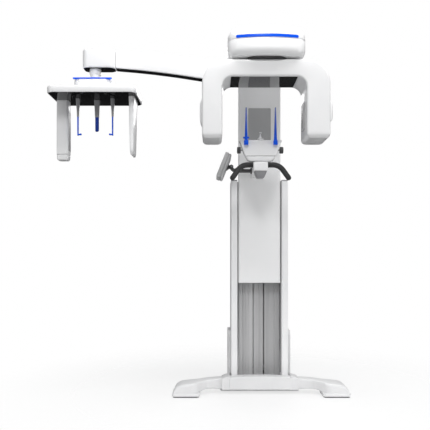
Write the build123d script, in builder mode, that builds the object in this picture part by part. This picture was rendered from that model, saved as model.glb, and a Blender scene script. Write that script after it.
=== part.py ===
"""Panoramic dental X-ray machine with a side arm for skull (cephalometric) images.

A fixed column stands on a floor base.  A carriage slides up and down in the column's channel on a
screw.  It carries the head housing with the turning X-ray arm, the patient support, and the long
side arm with the skull unit.

Row frame: millimetres, +Z up, -Y is the patient's side, +X to the right.  The origin is on the
floor, at the middle of the four floor-anchor holes, straight below the column's centre line.
"""
import os
from math import cos, radians, sin

from build123d import *

os.makedirs("parts", exist_ok=True)

# ------------------------------------------------------------------ driving dimensions
fit = 0.05            # radial clearance of a shaft in its bearing
gap = 0.3             # running gap between faces that slide past each other
column_w = 370        # column width; the base follows it

# floor base
foot_t = 10           # levelling feet
plate_t = 14          # base plate thickness
base_w = column_w + 140
base_d = 300          # base plate depth
anchor_x = column_w + 80   # anchor hole spacing, across
anchor_y = 120        # anchor hole spacing, front to back
anchor_r = 7
boss_r = 20           # solid bosses under the plate, round the anchor holes
pad_end = 559         # outer end of a foot pad, from the centre line
pad_len = 174
pad_front = -300
pad_back = -130
pad_h = 84
sole_t = 6
lip_h = 20            # foot pad's bottom lip
fascia_w = column_w + 26
fascia_front = -205
fascia_h = 107
fascia_arch = 6
gusset_t = 20
gusset_h = 392

# fixed column
column_d = 260
column_top = 1370
rail_w = 41           # white side rail
rail_wall = 5
panel_y = -20         # front of the grooved centre panel
panel_back = 110
panel_wall = 6
cap_t = 8
slot_x = 35           # screw bracket slots, from the centre line
slot_w = 8
groove_x = 105
guide_w = 10
guide_d = 20
guide_y = -65
rear_d = 25           # rear cover depth
screw_r = 12.5
screw_y = 45
bearing_t = 20
motor_r = 44
motor_h = 84

# carriage
carriage_low = 707
carriage_top = 2085
cover_w = 275
cover_front = -118
cover_back = -86
cover_wall = 3.5
frame_w = 224
frame_back = -44
frame_wall = 5
lift_down = 550       # travel of the carriage below the rest pose
lift_up = 100
nut_z = 810
nut_h = 60
shoe_h = 80
mirror_w = 146
mirror_low = 1600
mirror_high = 1845
trim_t = 4

# head housing and turning axis
axis_y = -555
head_w = 438
head_front = -735
head_back = 40
head_low = 2000
head_high = 2168
head_seam = 2092
head_wall = 4
strip_w = 348
strip_h = 18
strip_z = 2103
hub_r = 60
neck_r = 120
beam_z = 2095
beam_t = 16
bearing_r = 82
step_y = -148         # where the head's underside steps up, behind the turning arm

# turning arm (rotor)
rotor_front = -680
rotor_back = -430
rotor_left = -363
rotor_right = 357
inner_left = -250
inner_right = 225
rotor_top = 1991
bridge_low = 1894
leg_low = 1550
leg_seam = 1846       # where the leg shells meet the bridge shell
outer_r = 140
inner_r = 50
shell = 4
left_bulge = 16
right_bulge = 42

# side arm and skull unit
arm_low = 2036
arm_high = 2150
arm_root_x = -140
arm_root_y = -50
arm_root_half = 55
tip_x = -1014
tip_y = -317
tip_w = 178
tip_d = 110
neck_x = -1030
neck_top_r = 35.5
neck_low_r = 18.5
neck_step = 1990
plate_left = -1298
plate_right = -762
plate_front = -466
plate_rear = -114
plate_low = 1862
plate_high = 1905
housing_w = 236
housing_h = 43
skull_y = -322
disc_r = 140
disc_t = 6
ear_half = 107
ear_low = 1627
nasion_low = 1659
sensor_w = 74
sensor_d = 78
sensor_x = -1248
sensor_y = -232
sensor_low = 1486
blade_low = 1505
blade_x = -800.5
blade_w = 23
blade_d = 177
blade_y = -291.5
scan = 170

# patient support
support_x = -18       # its middle, left of the column's centre line
support_w = 80
support_low = 1392
support_high = 1446
block_w = 86
block_back = -387
block_front = -470
cup_low = 1452
cup_high = 1577
cup_w_low = 164
cup_w_high = 256
cup_back = -393
cup_front = -455
cup_wall = 5
post_r = 14
grip_r = 16
knob_r = 20
knob_z = 1522
knob_y = -415
shaft_r = 4
temple_x = 87
temple_y = -469
temple_low = 1546
temple_high = 1768
bite_r = 5
panel_x = -234
panel_z = 1443
panel_h = 160
panel_t = 41
panel_len = 230
panel_lean = 22
stem_r = 12
stem_y = -251
pivot_r = 6

plate_top = foot_t + plate_t
rail_inner = column_w / 2 - rail_w

# ------------------------------------------------------------------ floor base
with BuildPart() as base_plate:
    with BuildSketch(Plane.XY.offset(foot_t)):
        RectangleRounded(base_w, base_d, 20)
    extrude(amount=plate_t)
    with BuildSketch():
        with GridLocations(anchor_x, anchor_y, 2, 2):
            Circle(boss_r)
    extrude(amount=foot_t)
    with Locations((0, 0, plate_top)):
        with GridLocations(anchor_x, anchor_y, 2, 2):
            Hole(anchor_r)
base_plate.part.label = "base_plate"
export_step(base_plate.part, "parts/base_plate.step")

pad_mid_x = pad_end - pad_len / 2
pad_mid_y = (pad_front + pad_back) / 2
with BuildPart() as rubber_feet:
    with BuildSketch():
        with GridLocations(2 * pad_mid_x, 0, 2, 1):
            with Locations((0, pad_mid_y)):
                RectangleRounded(pad_len - 10, pad_back - pad_front - 10, 20)
    extrude(amount=sole_t)
    with BuildSketch():
        with Locations((0, base_d / 2 - 35)):
            with GridLocations(base_w - 70, 0, 2, 1):
                Circle(30)
    extrude(amount=foot_t)
rubber_feet.part.label = "rubber_feet"
export_step(rubber_feet.part, "parts/rubber_feet.step")

root_x = fascia_w / 2
arm_front = fascia_front + 20
arm_back = arm_front + 90
for side, name in ((-1, "outrigger_left"), (1, "outrigger_right")):
    with BuildPart() as outrigger:
        # plan outline, extruded up
        with BuildSketch(Plane.XY.offset(sole_t)):
            with BuildLine():
                Polyline(
                    (side * root_x, arm_front),
                    (side * (pad_end - pad_len - 30), arm_front - 12),
                    (side * (pad_end - pad_len + 25), pad_front + 8),
                    (side * (pad_end - 8), pad_front + 8),
                    (side * (pad_end - 8), pad_back - 8),
                    (side * (pad_end - pad_len + 20), pad_back - 8),
                    (side * (pad_end - pad_len - 40), arm_back),
                    (side * root_x, arm_back),
                    close=True,
                )
            make_face()
        extrude(amount=fascia_h)
        # side view, cut to the arched underside and the falling top
        with BuildSketch(Plane.XZ.offset(-arm_back)):
            with BuildLine():
                Polyline(
                    (side * root_x, plate_top),
                    (side * root_x, plate_top + 71),
                    (side * (base_w / 2), plate_top + 71),
                    (side * (pad_end - pad_len), pad_h + 3),
                    (side * (pad_end - 50), pad_h - 5),
                    (side * (pad_end - 18), pad_h - 30),
                    (side * (pad_end - 8), sole_t + lip_h),
                    (side * (pad_end - 8), sole_t),
                    (side * (pad_end - pad_len + 12), sole_t),
                    (side * (pad_end - pad_len - 20), plate_top + 6),
                    (side * (base_w / 2 + 1), plate_top + 6),
                    (side * (base_w / 2 + 1), plate_top),
                    close=True,
                )
            make_face()
        extrude(amount=arm_back - pad_front, mode=Mode.INTERSECT)
        # bottom lip all round the pad
        with BuildSketch(Plane.XY.offset(sole_t)):
            with Locations((side * pad_mid_x, pad_mid_y)):
                RectangleRounded(pad_len, pad_back - pad_front, 18)
        extrude(amount=lip_h)
    outrigger.part.label = name
    export_step(outrigger.part, f"parts/{name}.step")

with BuildPart() as base_fascia:
    with BuildSketch(Plane.XZ.offset(column_d / 2)) as fascia_face:
        with BuildLine():
            Polyline(
                (fascia_w / 2, fascia_h),
                (fascia_w / 2, plate_top),
                (-fascia_w / 2, plate_top),
                (-fascia_w / 2, fascia_h),
            )
            ThreePointArc(
                (-fascia_w / 2, fascia_h), (0, fascia_h + fascia_arch), (fascia_w / 2, fascia_h)
            )
        make_face()
    extrude(amount=-fascia_front - column_d / 2)
    with BuildSketch(Plane.XZ.offset(column_d / 2)):
        with Locations((0, (fascia_h + plate_top) / 2)):
            Rectangle(fascia_w - 8, fascia_h - plate_top - 8)
    extrude(amount=-fascia_front - column_d / 2 - 4, mode=Mode.SUBTRACT)
base_fascia.part.label = "base_fascia"
export_step(base_fascia.part, "parts/base_fascia.step")

with BuildPart() as side_gussets:
    for side in (-1, 1):
        start = column_w / 2 if side > 0 else -column_w / 2 - gusset_t
        with BuildSketch(Plane.YZ.offset(start)):
            with BuildLine():
                Polyline(
                    (arm_back + 4, plate_top),
                    (base_d / 2 - 30, plate_top),
                    (base_d / 2 - 30, gusset_h / 2),
                    (base_d / 2 - 60, gusset_h),
                    (arm_back + 24, gusset_h),
                    (arm_back + 4, gusset_h - 30),
                    close=True,
                )
            make_face()
        extrude(amount=gusset_t)
side_gussets.part.label = "side_gussets"
export_step(side_gussets.part, "parts/side_gussets.step")

# ------------------------------------------------------------------ fixed column
column_h = column_top - plate_top
slot_low = fascia_h + 2
slot_high = nut_z + nut_h / 2 + lift_up + 10
with BuildPart() as column_extrusion:
    with BuildSketch(Plane.XY.offset(plate_top)):
        with Locations((0, (panel_y + panel_back) / 2)):
            Rectangle(2 * rail_inner, panel_back - panel_y)
            Rectangle(
                2 * rail_inner - 2 * panel_wall, panel_back - panel_y - 2 * panel_wall,
                mode=Mode.SUBTRACT,
            )
        with Locations((-groove_x, panel_y), (groove_x, panel_y)):
            Rectangle(5, 5, mode=Mode.SUBTRACT)
    extrude(amount=column_h)
    with BuildSketch(Plane.XZ.offset(-panel_y)):
        with GridLocations(2 * slot_x, 0, 2, 1):
            with Locations((0, (slot_low + slot_high) / 2)):
                Rectangle(slot_w, slot_high - slot_low)
    extrude(amount=-panel_wall, mode=Mode.SUBTRACT)
column_extrusion.part.label = "column_extrusion"
export_step(column_extrusion.part, "parts/column_extrusion.step")

rail_mid = column_w / 2 - rail_w / 2
for side, name in ((-1, "column_rail_left"), (1, "column_rail_right")):
    with BuildPart() as column_rail:
        with BuildSketch(Plane.XY.offset(plate_top)):
            with Locations((side * rail_mid, 0)):
                Rectangle(rail_w, column_d)
                Rectangle(rail_w - 2 * rail_wall, column_d - 2 * rail_wall, mode=Mode.SUBTRACT)
        extrude(amount=column_h)
    column_rail.part.label = name
    export_step(column_rail.part, f"parts/{name}.step")

with BuildPart() as column_caps:
    with BuildSketch(Plane.XY.offset(column_top)):
        with GridLocations(2 * rail_mid, 0, 2, 1):
            RectangleRounded(rail_w, column_d, 3)
        with Locations((0, (panel_y + panel_back + rear_d) / 2)):
            Rectangle(2 * rail_inner + 2, panel_back + rear_d - panel_y)
    extrude(amount=cap_t)
column_caps.part.label = "column_caps"
export_step(column_caps.part, "parts/column_caps.step")

with BuildPart() as guide_rails:
    with BuildSketch(Plane.XY.offset(plate_top + 90)):
        with Locations((0, guide_y)):
            with GridLocations(2 * rail_inner - guide_w, 0, 2, 1):
                Rectangle(guide_w, guide_d)
    extrude(amount=column_h - 94)
guide_rails.part.label = "guide_rails"
export_step(guide_rails.part, "parts/guide_rails.step")

inlet_x = -50
inlet_w = 50
inlet_h = 28
switch_x = 40
switch_w = 18
switch_h = 26
service_z = 90
with BuildPart() as rear_cover:
    with BuildSketch(Plane.XZ.offset(-panel_back - rear_d)):
        with Locations((0, (plate_top + column_top) / 2)):
            Rectangle(2 * rail_inner - 1, column_h)
    extrude(amount=rear_d)
    with BuildSketch(Plane.XZ.offset(-panel_back - rear_d + 3)):
        with Locations((0, (plate_top + column_top) / 2)):
            Rectangle(2 * rail_inner - 7, column_h - 6)
    extrude(amount=rear_d, mode=Mode.SUBTRACT)
    with BuildSketch(Plane.XZ.offset(-panel_back - rear_d)):
        with Locations((inlet_x, service_z)):
            Rectangle(inlet_w, inlet_h)
        with Locations((switch_x, service_z)):
            Rectangle(switch_w + 2 * gap, switch_h + 3)
    extrude(amount=rear_d, mode=Mode.SUBTRACT)
rear_cover.part.label = "rear_cover"
export_step(rear_cover.part, "parts/rear_cover.step")

rear_face = panel_back + rear_d
with BuildPart() as power_inlet:
    with BuildSketch(Plane.XZ.offset(-rear_face - 2)):
        with Locations((inlet_x, service_z)):
            Rectangle(inlet_w, inlet_h)
    extrude(amount=22)
    with BuildSketch(Plane.XZ.offset(-rear_face - 2)):
        with Locations((inlet_x, service_z)):
            Rectangle(26, 18)
    extrude(amount=16, mode=Mode.SUBTRACT)
    with BuildSketch(Plane.XZ.offset(-rear_face + 14)):
        with Locations((inlet_x - 6, service_z - 2), (inlet_x, service_z + 3), (inlet_x + 6, service_z - 2)):
            Rectangle(2, 5)
    extrude(amount=-13)
power_inlet.part.label = "power_inlet"
export_step(power_inlet.part, "parts/power_inlet.step")

with BuildPart() as main_switch:
    with BuildSketch(Plane.YZ.offset(switch_x - switch_w / 2)):
        with BuildLine():
            Polyline(
                (rear_face - 17, service_z - switch_h / 2 + 4),
                (rear_face, service_z - switch_h / 2),
                (rear_face + 3, service_z - switch_h / 2),
                (rear_face + 1, service_z),
                (rear_face + 3, service_z + switch_h / 2),
                (rear_face, service_z + switch_h / 2),
                (rear_face - 17, service_z + switch_h / 2 - 4),
                close=True,
            )
        make_face()
    extrude(amount=switch_w)
main_switch.part.label = "main_switch"
export_step(main_switch.part, "parts/main_switch.step")

low_bearing = plate_top + motor_h + 20
high_bearing = column_top - 60
with BuildPart() as screw_bearings:
    for low in (low_bearing, high_bearing):
        with BuildSketch(Plane.XY.offset(low)):
            with Locations((0, (panel_y + panel_back) / 2)):
                Rectangle(2 * rail_inner - 2 * panel_wall, panel_back - panel_y - 2 * panel_wall)
            with Locations((0, screw_y)):
                Circle(screw_r + fit, mode=Mode.SUBTRACT)
        extrude(amount=bearing_t)
screw_bearings.part.label = "screw_bearings"
export_step(screw_bearings.part, "parts/screw_bearings.step")

with BuildPart() as lift_motor:
    with BuildSketch(Plane.XY.offset(plate_top)):
        with Locations((0, screw_y)):
            Circle(motor_r)
    extrude(amount=motor_h)
    with BuildSketch(Plane.XY.offset(plate_top)):
        with Locations((0, screw_y)):
            Rectangle(2 * motor_r + 8, 2 * motor_r + 8)
    extrude(amount=12)
lift_motor.part.label = "lift_motor"
export_step(lift_motor.part, "parts/lift_motor.step")

with BuildPart() as lift_screw:
    with BuildSketch(Plane.XY.offset(plate_top + motor_h + gap)):
        with Locations((0, screw_y)):
            Circle(screw_r)
    extrude(amount=high_bearing + bearing_t + 5 - plate_top - motor_h)
    with BuildSketch(Plane.XY.offset(low_bearing + bearing_t + gap)):
        with Locations((0, screw_y)):
            Circle(screw_r + 8)
    extrude(amount=12)
lift_screw.part.label = "lift_screw"
export_step(lift_screw.part, "parts/lift_screw.step")

# ------------------------------------------------------------------ carriage
frame_low = carriage_low + 28
frame_front = cover_back + 6
with BuildPart() as carriage_frame:
    with BuildSketch(Plane.XY.offset(frame_low)):
        with Locations((0, (frame_front + frame_back) / 2)):
            Rectangle(frame_w, frame_back - frame_front)
            Rectangle(
                frame_w - 2 * frame_wall, frame_back - frame_front - 2 * frame_wall,
                mode=Mode.SUBTRACT,
            )
    extrude(amount=beam_z - frame_low)
    with BuildSketch(Plane.XY.offset(frame_low)):
        with Locations((0, (cover_back + frame_front) / 2)):
            Rectangle(cover_w - 1, frame_front - cover_back)
    extrude(amount=carriage_top - frame_low)
carriage_frame.part.label = "carriage_frame"
export_step(carriage_frame.part, "parts/carriage_frame.step")

with BuildPart() as carriage_cover:
    with BuildSketch(Plane.XY.offset(carriage_low)):
        with Locations((0, (cover_front + cover_back) / 2)):
            Rectangle(cover_w, cover_back - cover_front)
    extrude(amount=carriage_top - carriage_low)
    fillet(carriage_cover.edges().filter_by(Axis.Z).group_by(Axis.Y)[0], 10)
    with BuildSketch(Plane.XY.offset(carriage_low + cover_wall)):
        with Locations((0, (cover_front + cover_wall + cover_back) / 2)):
            Rectangle(cover_w - 2 * cover_wall, cover_back - cover_front - cover_wall)
    extrude(amount=carriage_top - carriage_low, mode=Mode.SUBTRACT)
    fillet(carriage_cover.edges().filter_by(Axis.Z).group_by(Axis.Y)[1], 5)
carriage_cover.part.label = "carriage_cover"
export_step(carriage_cover.part, "parts/carriage_cover.step")

shoe_tip = rail_inner - 0.5
shoe_low_z = frame_low + 35
shoe_high_z = column_top - 10 - lift_up - shoe_h
with BuildPart() as guide_shoes:
    for low in (shoe_low_z, shoe_high_z):
        with BuildSketch(Plane.XY.offset(low)):
            for side in (-1, 1):
                with Locations((side * (frame_w / 2 + shoe_tip) / 2, (frame_front + frame_back) / 2)):
                    Rectangle(shoe_tip - frame_w / 2, frame_back - frame_front)
                with Locations((side * (rail_inner - guide_w / 2), guide_y)):
                    Rectangle(guide_w + 2 * gap, guide_d + 2 * gap, mode=Mode.SUBTRACT)
        extrude(amount=shoe_h)
guide_shoes.part.label = "guide_shoes"
export_step(guide_shoes.part, "parts/guide_shoes.step")

cheek_t = slot_w - 2
with BuildPart() as lift_nut_bracket:
    with Locations((0, screw_y, nut_z)):
        Box(2 * slot_x + cheek_t, 2 * screw_r + 30, nut_h)
    with GridLocations(2 * slot_x, 0, 2, 1):
        with Locations((0, (frame_back + screw_y) / 2, nut_z)):
            Box(cheek_t, screw_y - frame_back, nut_h)
    with BuildSketch(Plane.XY.offset(nut_z - nut_h / 2)):
        with Locations((0, screw_y)):
            Circle(screw_r + fit)
    extrude(amount=nut_h, mode=Mode.SUBTRACT)
lift_nut_bracket.part.label = "lift_nut_bracket"
export_step(lift_nut_bracket.part, "parts/lift_nut_bracket.step")

with BuildPart() as mirror_panel:
    with BuildSketch(Plane.XZ.offset(-cover_front)):
        with Locations((0, (mirror_low + mirror_high) / 2)):
            RectangleRounded(mirror_w, mirror_high - mirror_low, 6)
    extrude(amount=trim_t)
mirror_panel.part.label = "mirror"
export_step(mirror_panel.part, "parts/mirror.step")

# ------------------------------------------------------------------ head housing
head_mid = (head_front + head_back) / 2
head_len = head_back - head_front


def head_plan(inset):
    """Plan outline of the head: straight sides, round corners, a slightly bowed front."""
    half = head_w / 2 - inset
    front = head_front + inset
    back = head_back - inset
    corner = 70 - inset
    with BuildSketch(Plane.XY.offset(head_low - 20)) as plan:
        with BuildLine():
            Polyline((half, front + 40), (half, back), (-half, back), (-half, front + 40))
            ThreePointArc((-half, front + 40), (0, front), (half, front + 40))
        make_face()
        fillet(plan.vertices().group_by(Axis.Y)[-1], 30 - inset)
        fillet(plan.vertices().filter_by_position(Axis.Y, front + 39, front + 41), corner / 2)
    return plan.sketch


def head_section(inset):
    """Front view of the head: wide in the middle, rounded on top, drawn in at the bottom."""
    half = head_w / 2 - inset
    low = head_low + inset
    high = head_high - inset
    with BuildSketch(Plane.XZ.offset(-head_back - 5)) as section:
        with BuildLine():
            Polyline(
                (half - 38, low), (half - 4, low + 36), (half, low + 80), (half, high),
                (-half, high), (-half, low + 80), (-half + 4, low + 36), (-half + 38, low),
                close=True,
            )
        make_face()
        fillet(section.vertices().group_by(Axis.Y)[-1], 64 - inset)
    return section.sketch


def head_solid(inset):
    """The whole head housing, drawn in by the given inset on every side."""
    with BuildPart() as body:
        extrude(head_plan(inset), amount=head_high - head_low + 40)
        extrude(head_section(inset), amount=head_len + 10, dir=(0, -1, 0), mode=Mode.INTERSECT)
        # the underside steps up behind the turning arm
        with Locations((0, step_y + 200 - inset, head_low)):
            Box(head_w + 10, 400, 2 * (carriage_top - head_low + inset), mode=Mode.SUBTRACT)
    return body.part


head_outer = head_solid(0)
head_inner = head_solid(head_wall)
arm_slot = arm_high - arm_low + 2
for low, high, name in (
    (head_low - 10, head_seam, "head_lower_cover"),
    (head_seam, head_high + 10, "head_upper_cover"),
):
    with BuildPart() as head_cover:
        add(head_outer)
        add(head_inner, mode=Mode.SUBTRACT)
        with Locations((0, head_mid, (low + high) / 2)):
            Box(head_w + 20, head_len + 20, high - low, mode=Mode.INTERSECT)
        # passages for the turning hub, the carriage and the side arm
        with Locations((0, axis_y, head_low)):
            Cylinder(hub_r + 12, 40, mode=Mode.SUBTRACT)
        with Locations((0, (cover_front + frame_back) / 2, carriage_top)):
            Box(cover_w + 2, frame_back - cover_front + 2, 30, mode=Mode.SUBTRACT)
        with Locations((-head_w / 2, arm_root_y - 10, (arm_low + arm_high) / 2)):
            Box(head_w + 2 * arm_root_x + 2, 2 * arm_root_half + 42, arm_slot, mode=Mode.SUBTRACT)
    head_cover.part.label = name
    export_step(head_cover.part, f"parts/{name}.step")

with BuildPart() as head_light_strip:
    extrude(head_plan(-2), amount=head_high - head_low + 40)
    extrude(head_plan(0), amount=head_high - head_low + 40, mode=Mode.SUBTRACT)
    with BuildSketch(Plane.XZ.offset(-head_front - 40)):
        with Locations((0, strip_z)):
            RectangleRounded(strip_w, strip_h, strip_h / 2 - 1)
    extrude(amount=60, mode=Mode.INTERSECT)
head_light_strip.part.label = "head_light_strip"
export_step(head_light_strip.part, "parts/head_light_strip.step")

with BuildPart() as head_frame:
    with BuildSketch(Plane.XY.offset(beam_z)):
        with Locations((0, (axis_y - hub_r - 20 + frame_back) / 2)):
            Rectangle(200, frame_back - axis_y + hub_r + 20)
        with Locations((0, (cover_front + frame_back) / 2 - 5)):
            Rectangle(2 * -arm_root_x, 84)
        with Locations((0, axis_y)):
            Circle(hub_r + fit, mode=Mode.SUBTRACT)
    extrude(amount=beam_t)
head_frame.part.label = "head_frame"
export_step(head_frame.part, "parts/head_frame.step")

with BuildPart() as slew_bearing:
    with BuildSketch(Plane.XY.offset(head_low + head_wall)):
        with Locations((0, axis_y)):
            Circle(bearing_r)
            Circle(hub_r + fit, mode=Mode.SUBTRACT)
    extrude(amount=beam_z - head_low - head_wall)
slew_bearing.part.label = "slew_bearing"
export_step(slew_bearing.part, "parts/slew_bearing.step")

with BuildPart() as slew_motor:
    with BuildSketch(Plane.XY.offset(beam_z + beam_t)):
        with Locations((0, axis_y + 170)):
            Rectangle(70, 70)
    extrude(amount=8)
    with BuildSketch(Plane.XY.offset(beam_z + beam_t)):
        with Locations((0, axis_y + 170)):
            Circle(32)
    extrude(amount=48)
slew_motor.part.label = "slew_motor"
export_step(slew_motor.part, "parts/slew_motor.step")

# ------------------------------------------------------------------ turning arm
with BuildPart() as rotor_hub:
    with BuildSketch(Plane.XY.offset(rotor_top)):
        with Locations((0, axis_y)):
            Circle(neck_r)
    extrude(amount=head_low - rotor_top - 2)
    with BuildSketch(Plane.XY.offset(rotor_top)):
        with Locations((0, axis_y)):
            Circle(hub_r)
    extrude(amount=beam_z + beam_t + 20 - rotor_top)
    with BuildSketch(Plane.XY.offset(beam_z + beam_t + gap)):
        with Locations((0, axis_y)):
            Circle(hub_r + 20)
    extrude(amount=20 - gap)
rotor_hub.part.label = "rotor_hub"
export_step(rotor_hub.part, "parts/rotor_hub.step")


def rotor_section(inset, back_wall=0):
    """Front view of the whole turning arm, an upside-down U, drawn in by the inset."""
    left = rotor_left + inset
    right = rotor_right - inset
    with BuildSketch(Plane.XZ.offset(back_wall - rotor_back)) as section:
        with BuildLine():
            Polyline(
                (left, leg_low - 20), (left, rotor_top - inset),
                (right, rotor_top - inset), (right, leg_low - 20),
                (inner_right + inset, leg_low - 20), (inner_right + inset, bridge_low + inset),
                (inner_left - inset, bridge_low + inset), (inner_left - inset, leg_low - 20),
                close=True,
            )
        make_face()
        corners = section.vertices().group_by(Axis.Y)
        fillet(corners[-1], outer_r - inset)
        fillet(corners[1], inner_r + inset)
    return section.sketch


rotor_mid = (rotor_front + rotor_back) / 2
rotor_depth = rotor_back - rotor_front


def rotor_slice(low, high, left, right, inset, back_wall=0):
    """The part of the U between the limits, drawn in by the inset, and by its own wall at the back."""
    with BuildPart() as piece:
        extrude(
            rotor_section(inset, back_wall), amount=rotor_depth - inset - back_wall, dir=(0, -1, 0)
        )
        with Locations(((left + right) / 2, rotor_mid, (low + high) / 2)):
            Box(right - left, rotor_depth + 2, high - low, mode=Mode.INTERSECT)
    return piece.part


left_end = rotor_left - 5
right_end = rotor_right + 5
for low, high, left, right, hollow_low, back_wall, name in (
    (leg_seam, rotor_top + 5, left_end, right_end, leg_seam - 1, shell, "rotor_bridge_shell"),
    (leg_low, leg_seam, left_end, 0, leg_low + shell, 0, "rotor_left_shell"),
    (leg_low, leg_seam, 0, right_end, leg_low + shell, 0, "rotor_right_shell"),
):
    outside = rotor_slice(low, high, left, right, 0)
    inside = rotor_slice(hollow_low, high + 1, left, right, shell, back_wall)
    with BuildPart() as rotor_shell:
        add(outside)
        add(inside, mode=Mode.SUBTRACT)
    rotor_shell.part.label = name
    export_step(rotor_shell.part, f"parts/{name}.step")

for left, right, bulge, name in (
    (rotor_left, inner_left, -left_bulge, "rotor_left_cover"),
    (inner_right, rotor_right, right_bulge, "rotor_right_cover"),
):
    with BuildPart() as leg_cover:
        with BuildSketch(Plane.XZ.offset(-rotor_back)):
            with Locations(((left + right) / 2, (leg_low + leg_seam) / 2)):
                Rectangle(right - left, leg_seam - leg_low)
        extrude(amount=-3)
        # outward swelling on the rear half of the leg's outer side
        outer = left if bulge < 0 else right
        with BuildSketch(Plane.XZ.offset(-rotor_back - 3)):
            with BuildLine():
                Polyline(
                    (outer, leg_low + 85), (outer + bulge, leg_low + 130),
                    (outer + bulge, leg_seam - 70), (outer, leg_seam - 25), close=True,
                )
            make_face()
        extrude(amount=110)
    leg_cover.part.label = name
    export_step(leg_cover.part, f"parts/{name}.step")

with BuildPart() as rotor_beam:
    with Locations((0, rotor_mid, rotor_top - shell - 15)):
        Box(420, 120, 30)
    with GridLocations(404, 0, 2, 1):
        with Locations((0, rotor_mid, rotor_top - shell - 30 - 15)):
            Box(16, 120, 30)
rotor_beam.part.label = "rotor_beam"
export_step(rotor_beam.part, "parts/rotor_beam.step")

tube_x = (inner_right + rotor_right) / 2
with BuildPart() as tube_head:
    with BuildSketch(Plane.XY.offset(leg_low + shell)):
        with Locations((tube_x, rotor_mid)):
            Circle(48)
    extrude(amount=250)
    with BuildSketch(Plane.XY.offset(leg_low + shell + 60)):
        with Locations((tube_x, rotor_mid)):
            Rectangle(90, 110)
    extrude(amount=120)
tube_head.part.label = "tube_head"
export_step(tube_head.part, "parts/tube_head.step")

with BuildPart() as collimator:
    with Locations((inner_right - 5, rotor_mid, leg_low + 140)):
        Box(10, 90, 150)
    with Locations((inner_right - 5, rotor_mid, leg_low + 140)):
        Box(12, 8, 110, mode=Mode.SUBTRACT)
collimator.part.label = "collimator"
export_step(collimator.part, "parts/collimator.step")

with BuildPart() as detector:
    with Locations((inner_left - shell - 22, rotor_mid, leg_low + shell + 130)):
        Box(44, 190, 260)
detector.part.label = "detector"
export_step(detector.part, "parts/detector.step")

# ------------------------------------------------------------------ side arm and skull unit


def arm_plan(inset, root_shift):
    """Plan outline of the side arm: it tapers from the column to a broad round end."""
    root_half = arm_root_half - inset
    neck_half = 34 - inset
    end_in = tip_x + tip_w / 2 - inset
    end_out = tip_x - tip_w / 2 + inset
    end_half = tip_d / 2 - inset
    with BuildSketch(Plane.XY.offset(arm_low + inset)) as plan:
        with BuildLine():
            Polyline(
                (arm_root_x + root_shift, arm_root_y - root_half),
                (-300, arm_root_y - 30 - root_half),
                (end_in + 40, tip_y - neck_half + 10),
                (end_in, tip_y - end_half),
                (end_out, tip_y - end_half),
                (end_out, tip_y + end_half),
                (end_in, tip_y + end_half),
                (end_in + 40, tip_y + neck_half + 24),
                (-300, arm_root_y - 30 + root_half),
                (arm_root_x + root_shift, arm_root_y + root_half),
                close=True,
            )
        make_face()
        fillet(plan.vertices().group_by(Axis.X)[0], 34 - inset)
    return plan.sketch


arm_wall = 6
with BuildPart() as ceph_arm:
    extrude(arm_plan(0, 0), amount=arm_high - arm_low)
    extrude(arm_plan(arm_wall, 20), amount=arm_high - arm_low - 2 * arm_wall, mode=Mode.SUBTRACT)
ceph_arm.part.label = "ceph_arm"
export_step(ceph_arm.part, "parts/ceph_arm.step")

housing_top = plate_high + housing_h
with BuildPart() as ceph_housing:
    with BuildSketch(Plane.XY.offset(plate_high)):
        with Locations((neck_x, skull_y)):
            RectangleRounded(housing_w, 190, 50)
    with BuildSketch(Plane.XY.offset(housing_top)):
        with Locations((neck_x, skull_y)):
            RectangleRounded(housing_w - 24, 160, 40)
    loft()
    # stepped neck up to the side arm
    with BuildSketch(Plane.XY.offset(housing_top)):
        with Locations((neck_x, tip_y)):
            Circle(neck_low_r)
    extrude(amount=arm_low - housing_top)
    with BuildSketch(Plane.XY.offset(neck_step)):
        with Locations((neck_x, tip_y)):
            Circle(neck_top_r)
    extrude(amount=arm_low - neck_step)
ceph_housing.part.label = "ceph_housing"
export_step(ceph_housing.part, "parts/ceph_housing.step")

plate_mid_x = (plate_left + plate_right) / 2
plate_mid_y = (plate_front + plate_rear) / 2
plate_w = plate_right - plate_left
plate_d = plate_rear - plate_front
with BuildPart() as ceph_plate:
    with BuildSketch(Plane.XY.offset(plate_low)):
        with Locations((plate_mid_x, plate_mid_y)):
            RectangleRounded(plate_w, plate_d, 40)
    extrude(amount=plate_high - plate_low)
    fillet(ceph_plate.edges().group_by(Axis.Z)[-1], 12)
    with BuildSketch(Plane.XY.offset(plate_low)):
        with Locations((plate_mid_x, plate_mid_y)):
            RectangleRounded(plate_w - 12, plate_d - 12, 34)
    extrude(amount=plate_high - plate_low - 14, mode=Mode.SUBTRACT)
ceph_plate.part.label = "ceph_plate"
export_step(ceph_plate.part, "parts/ceph_plate.step")

with BuildPart() as ceph_underside:
    with BuildSketch(Plane.XY.offset(plate_low)):
        with Locations((plate_mid_x, plate_mid_y)):
            RectangleRounded(plate_w - 12, plate_d - 12, 34)
    extrude(amount=5)
ceph_underside.part.label = "ceph_underside"
export_step(ceph_underside.part, "parts/ceph_underside.step")

disc_low = plate_low - gap - disc_t
with BuildPart() as positioner_disc:
    with BuildSketch(Plane.XY.offset(disc_low)):
        with Locations((neck_x, skull_y)):
            Circle(disc_r)
    extrude(amount=disc_t)
positioner_disc.part.label = "positioner_disc"
export_step(positioner_disc.part, "parts/positioner_disc.step")

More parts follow.
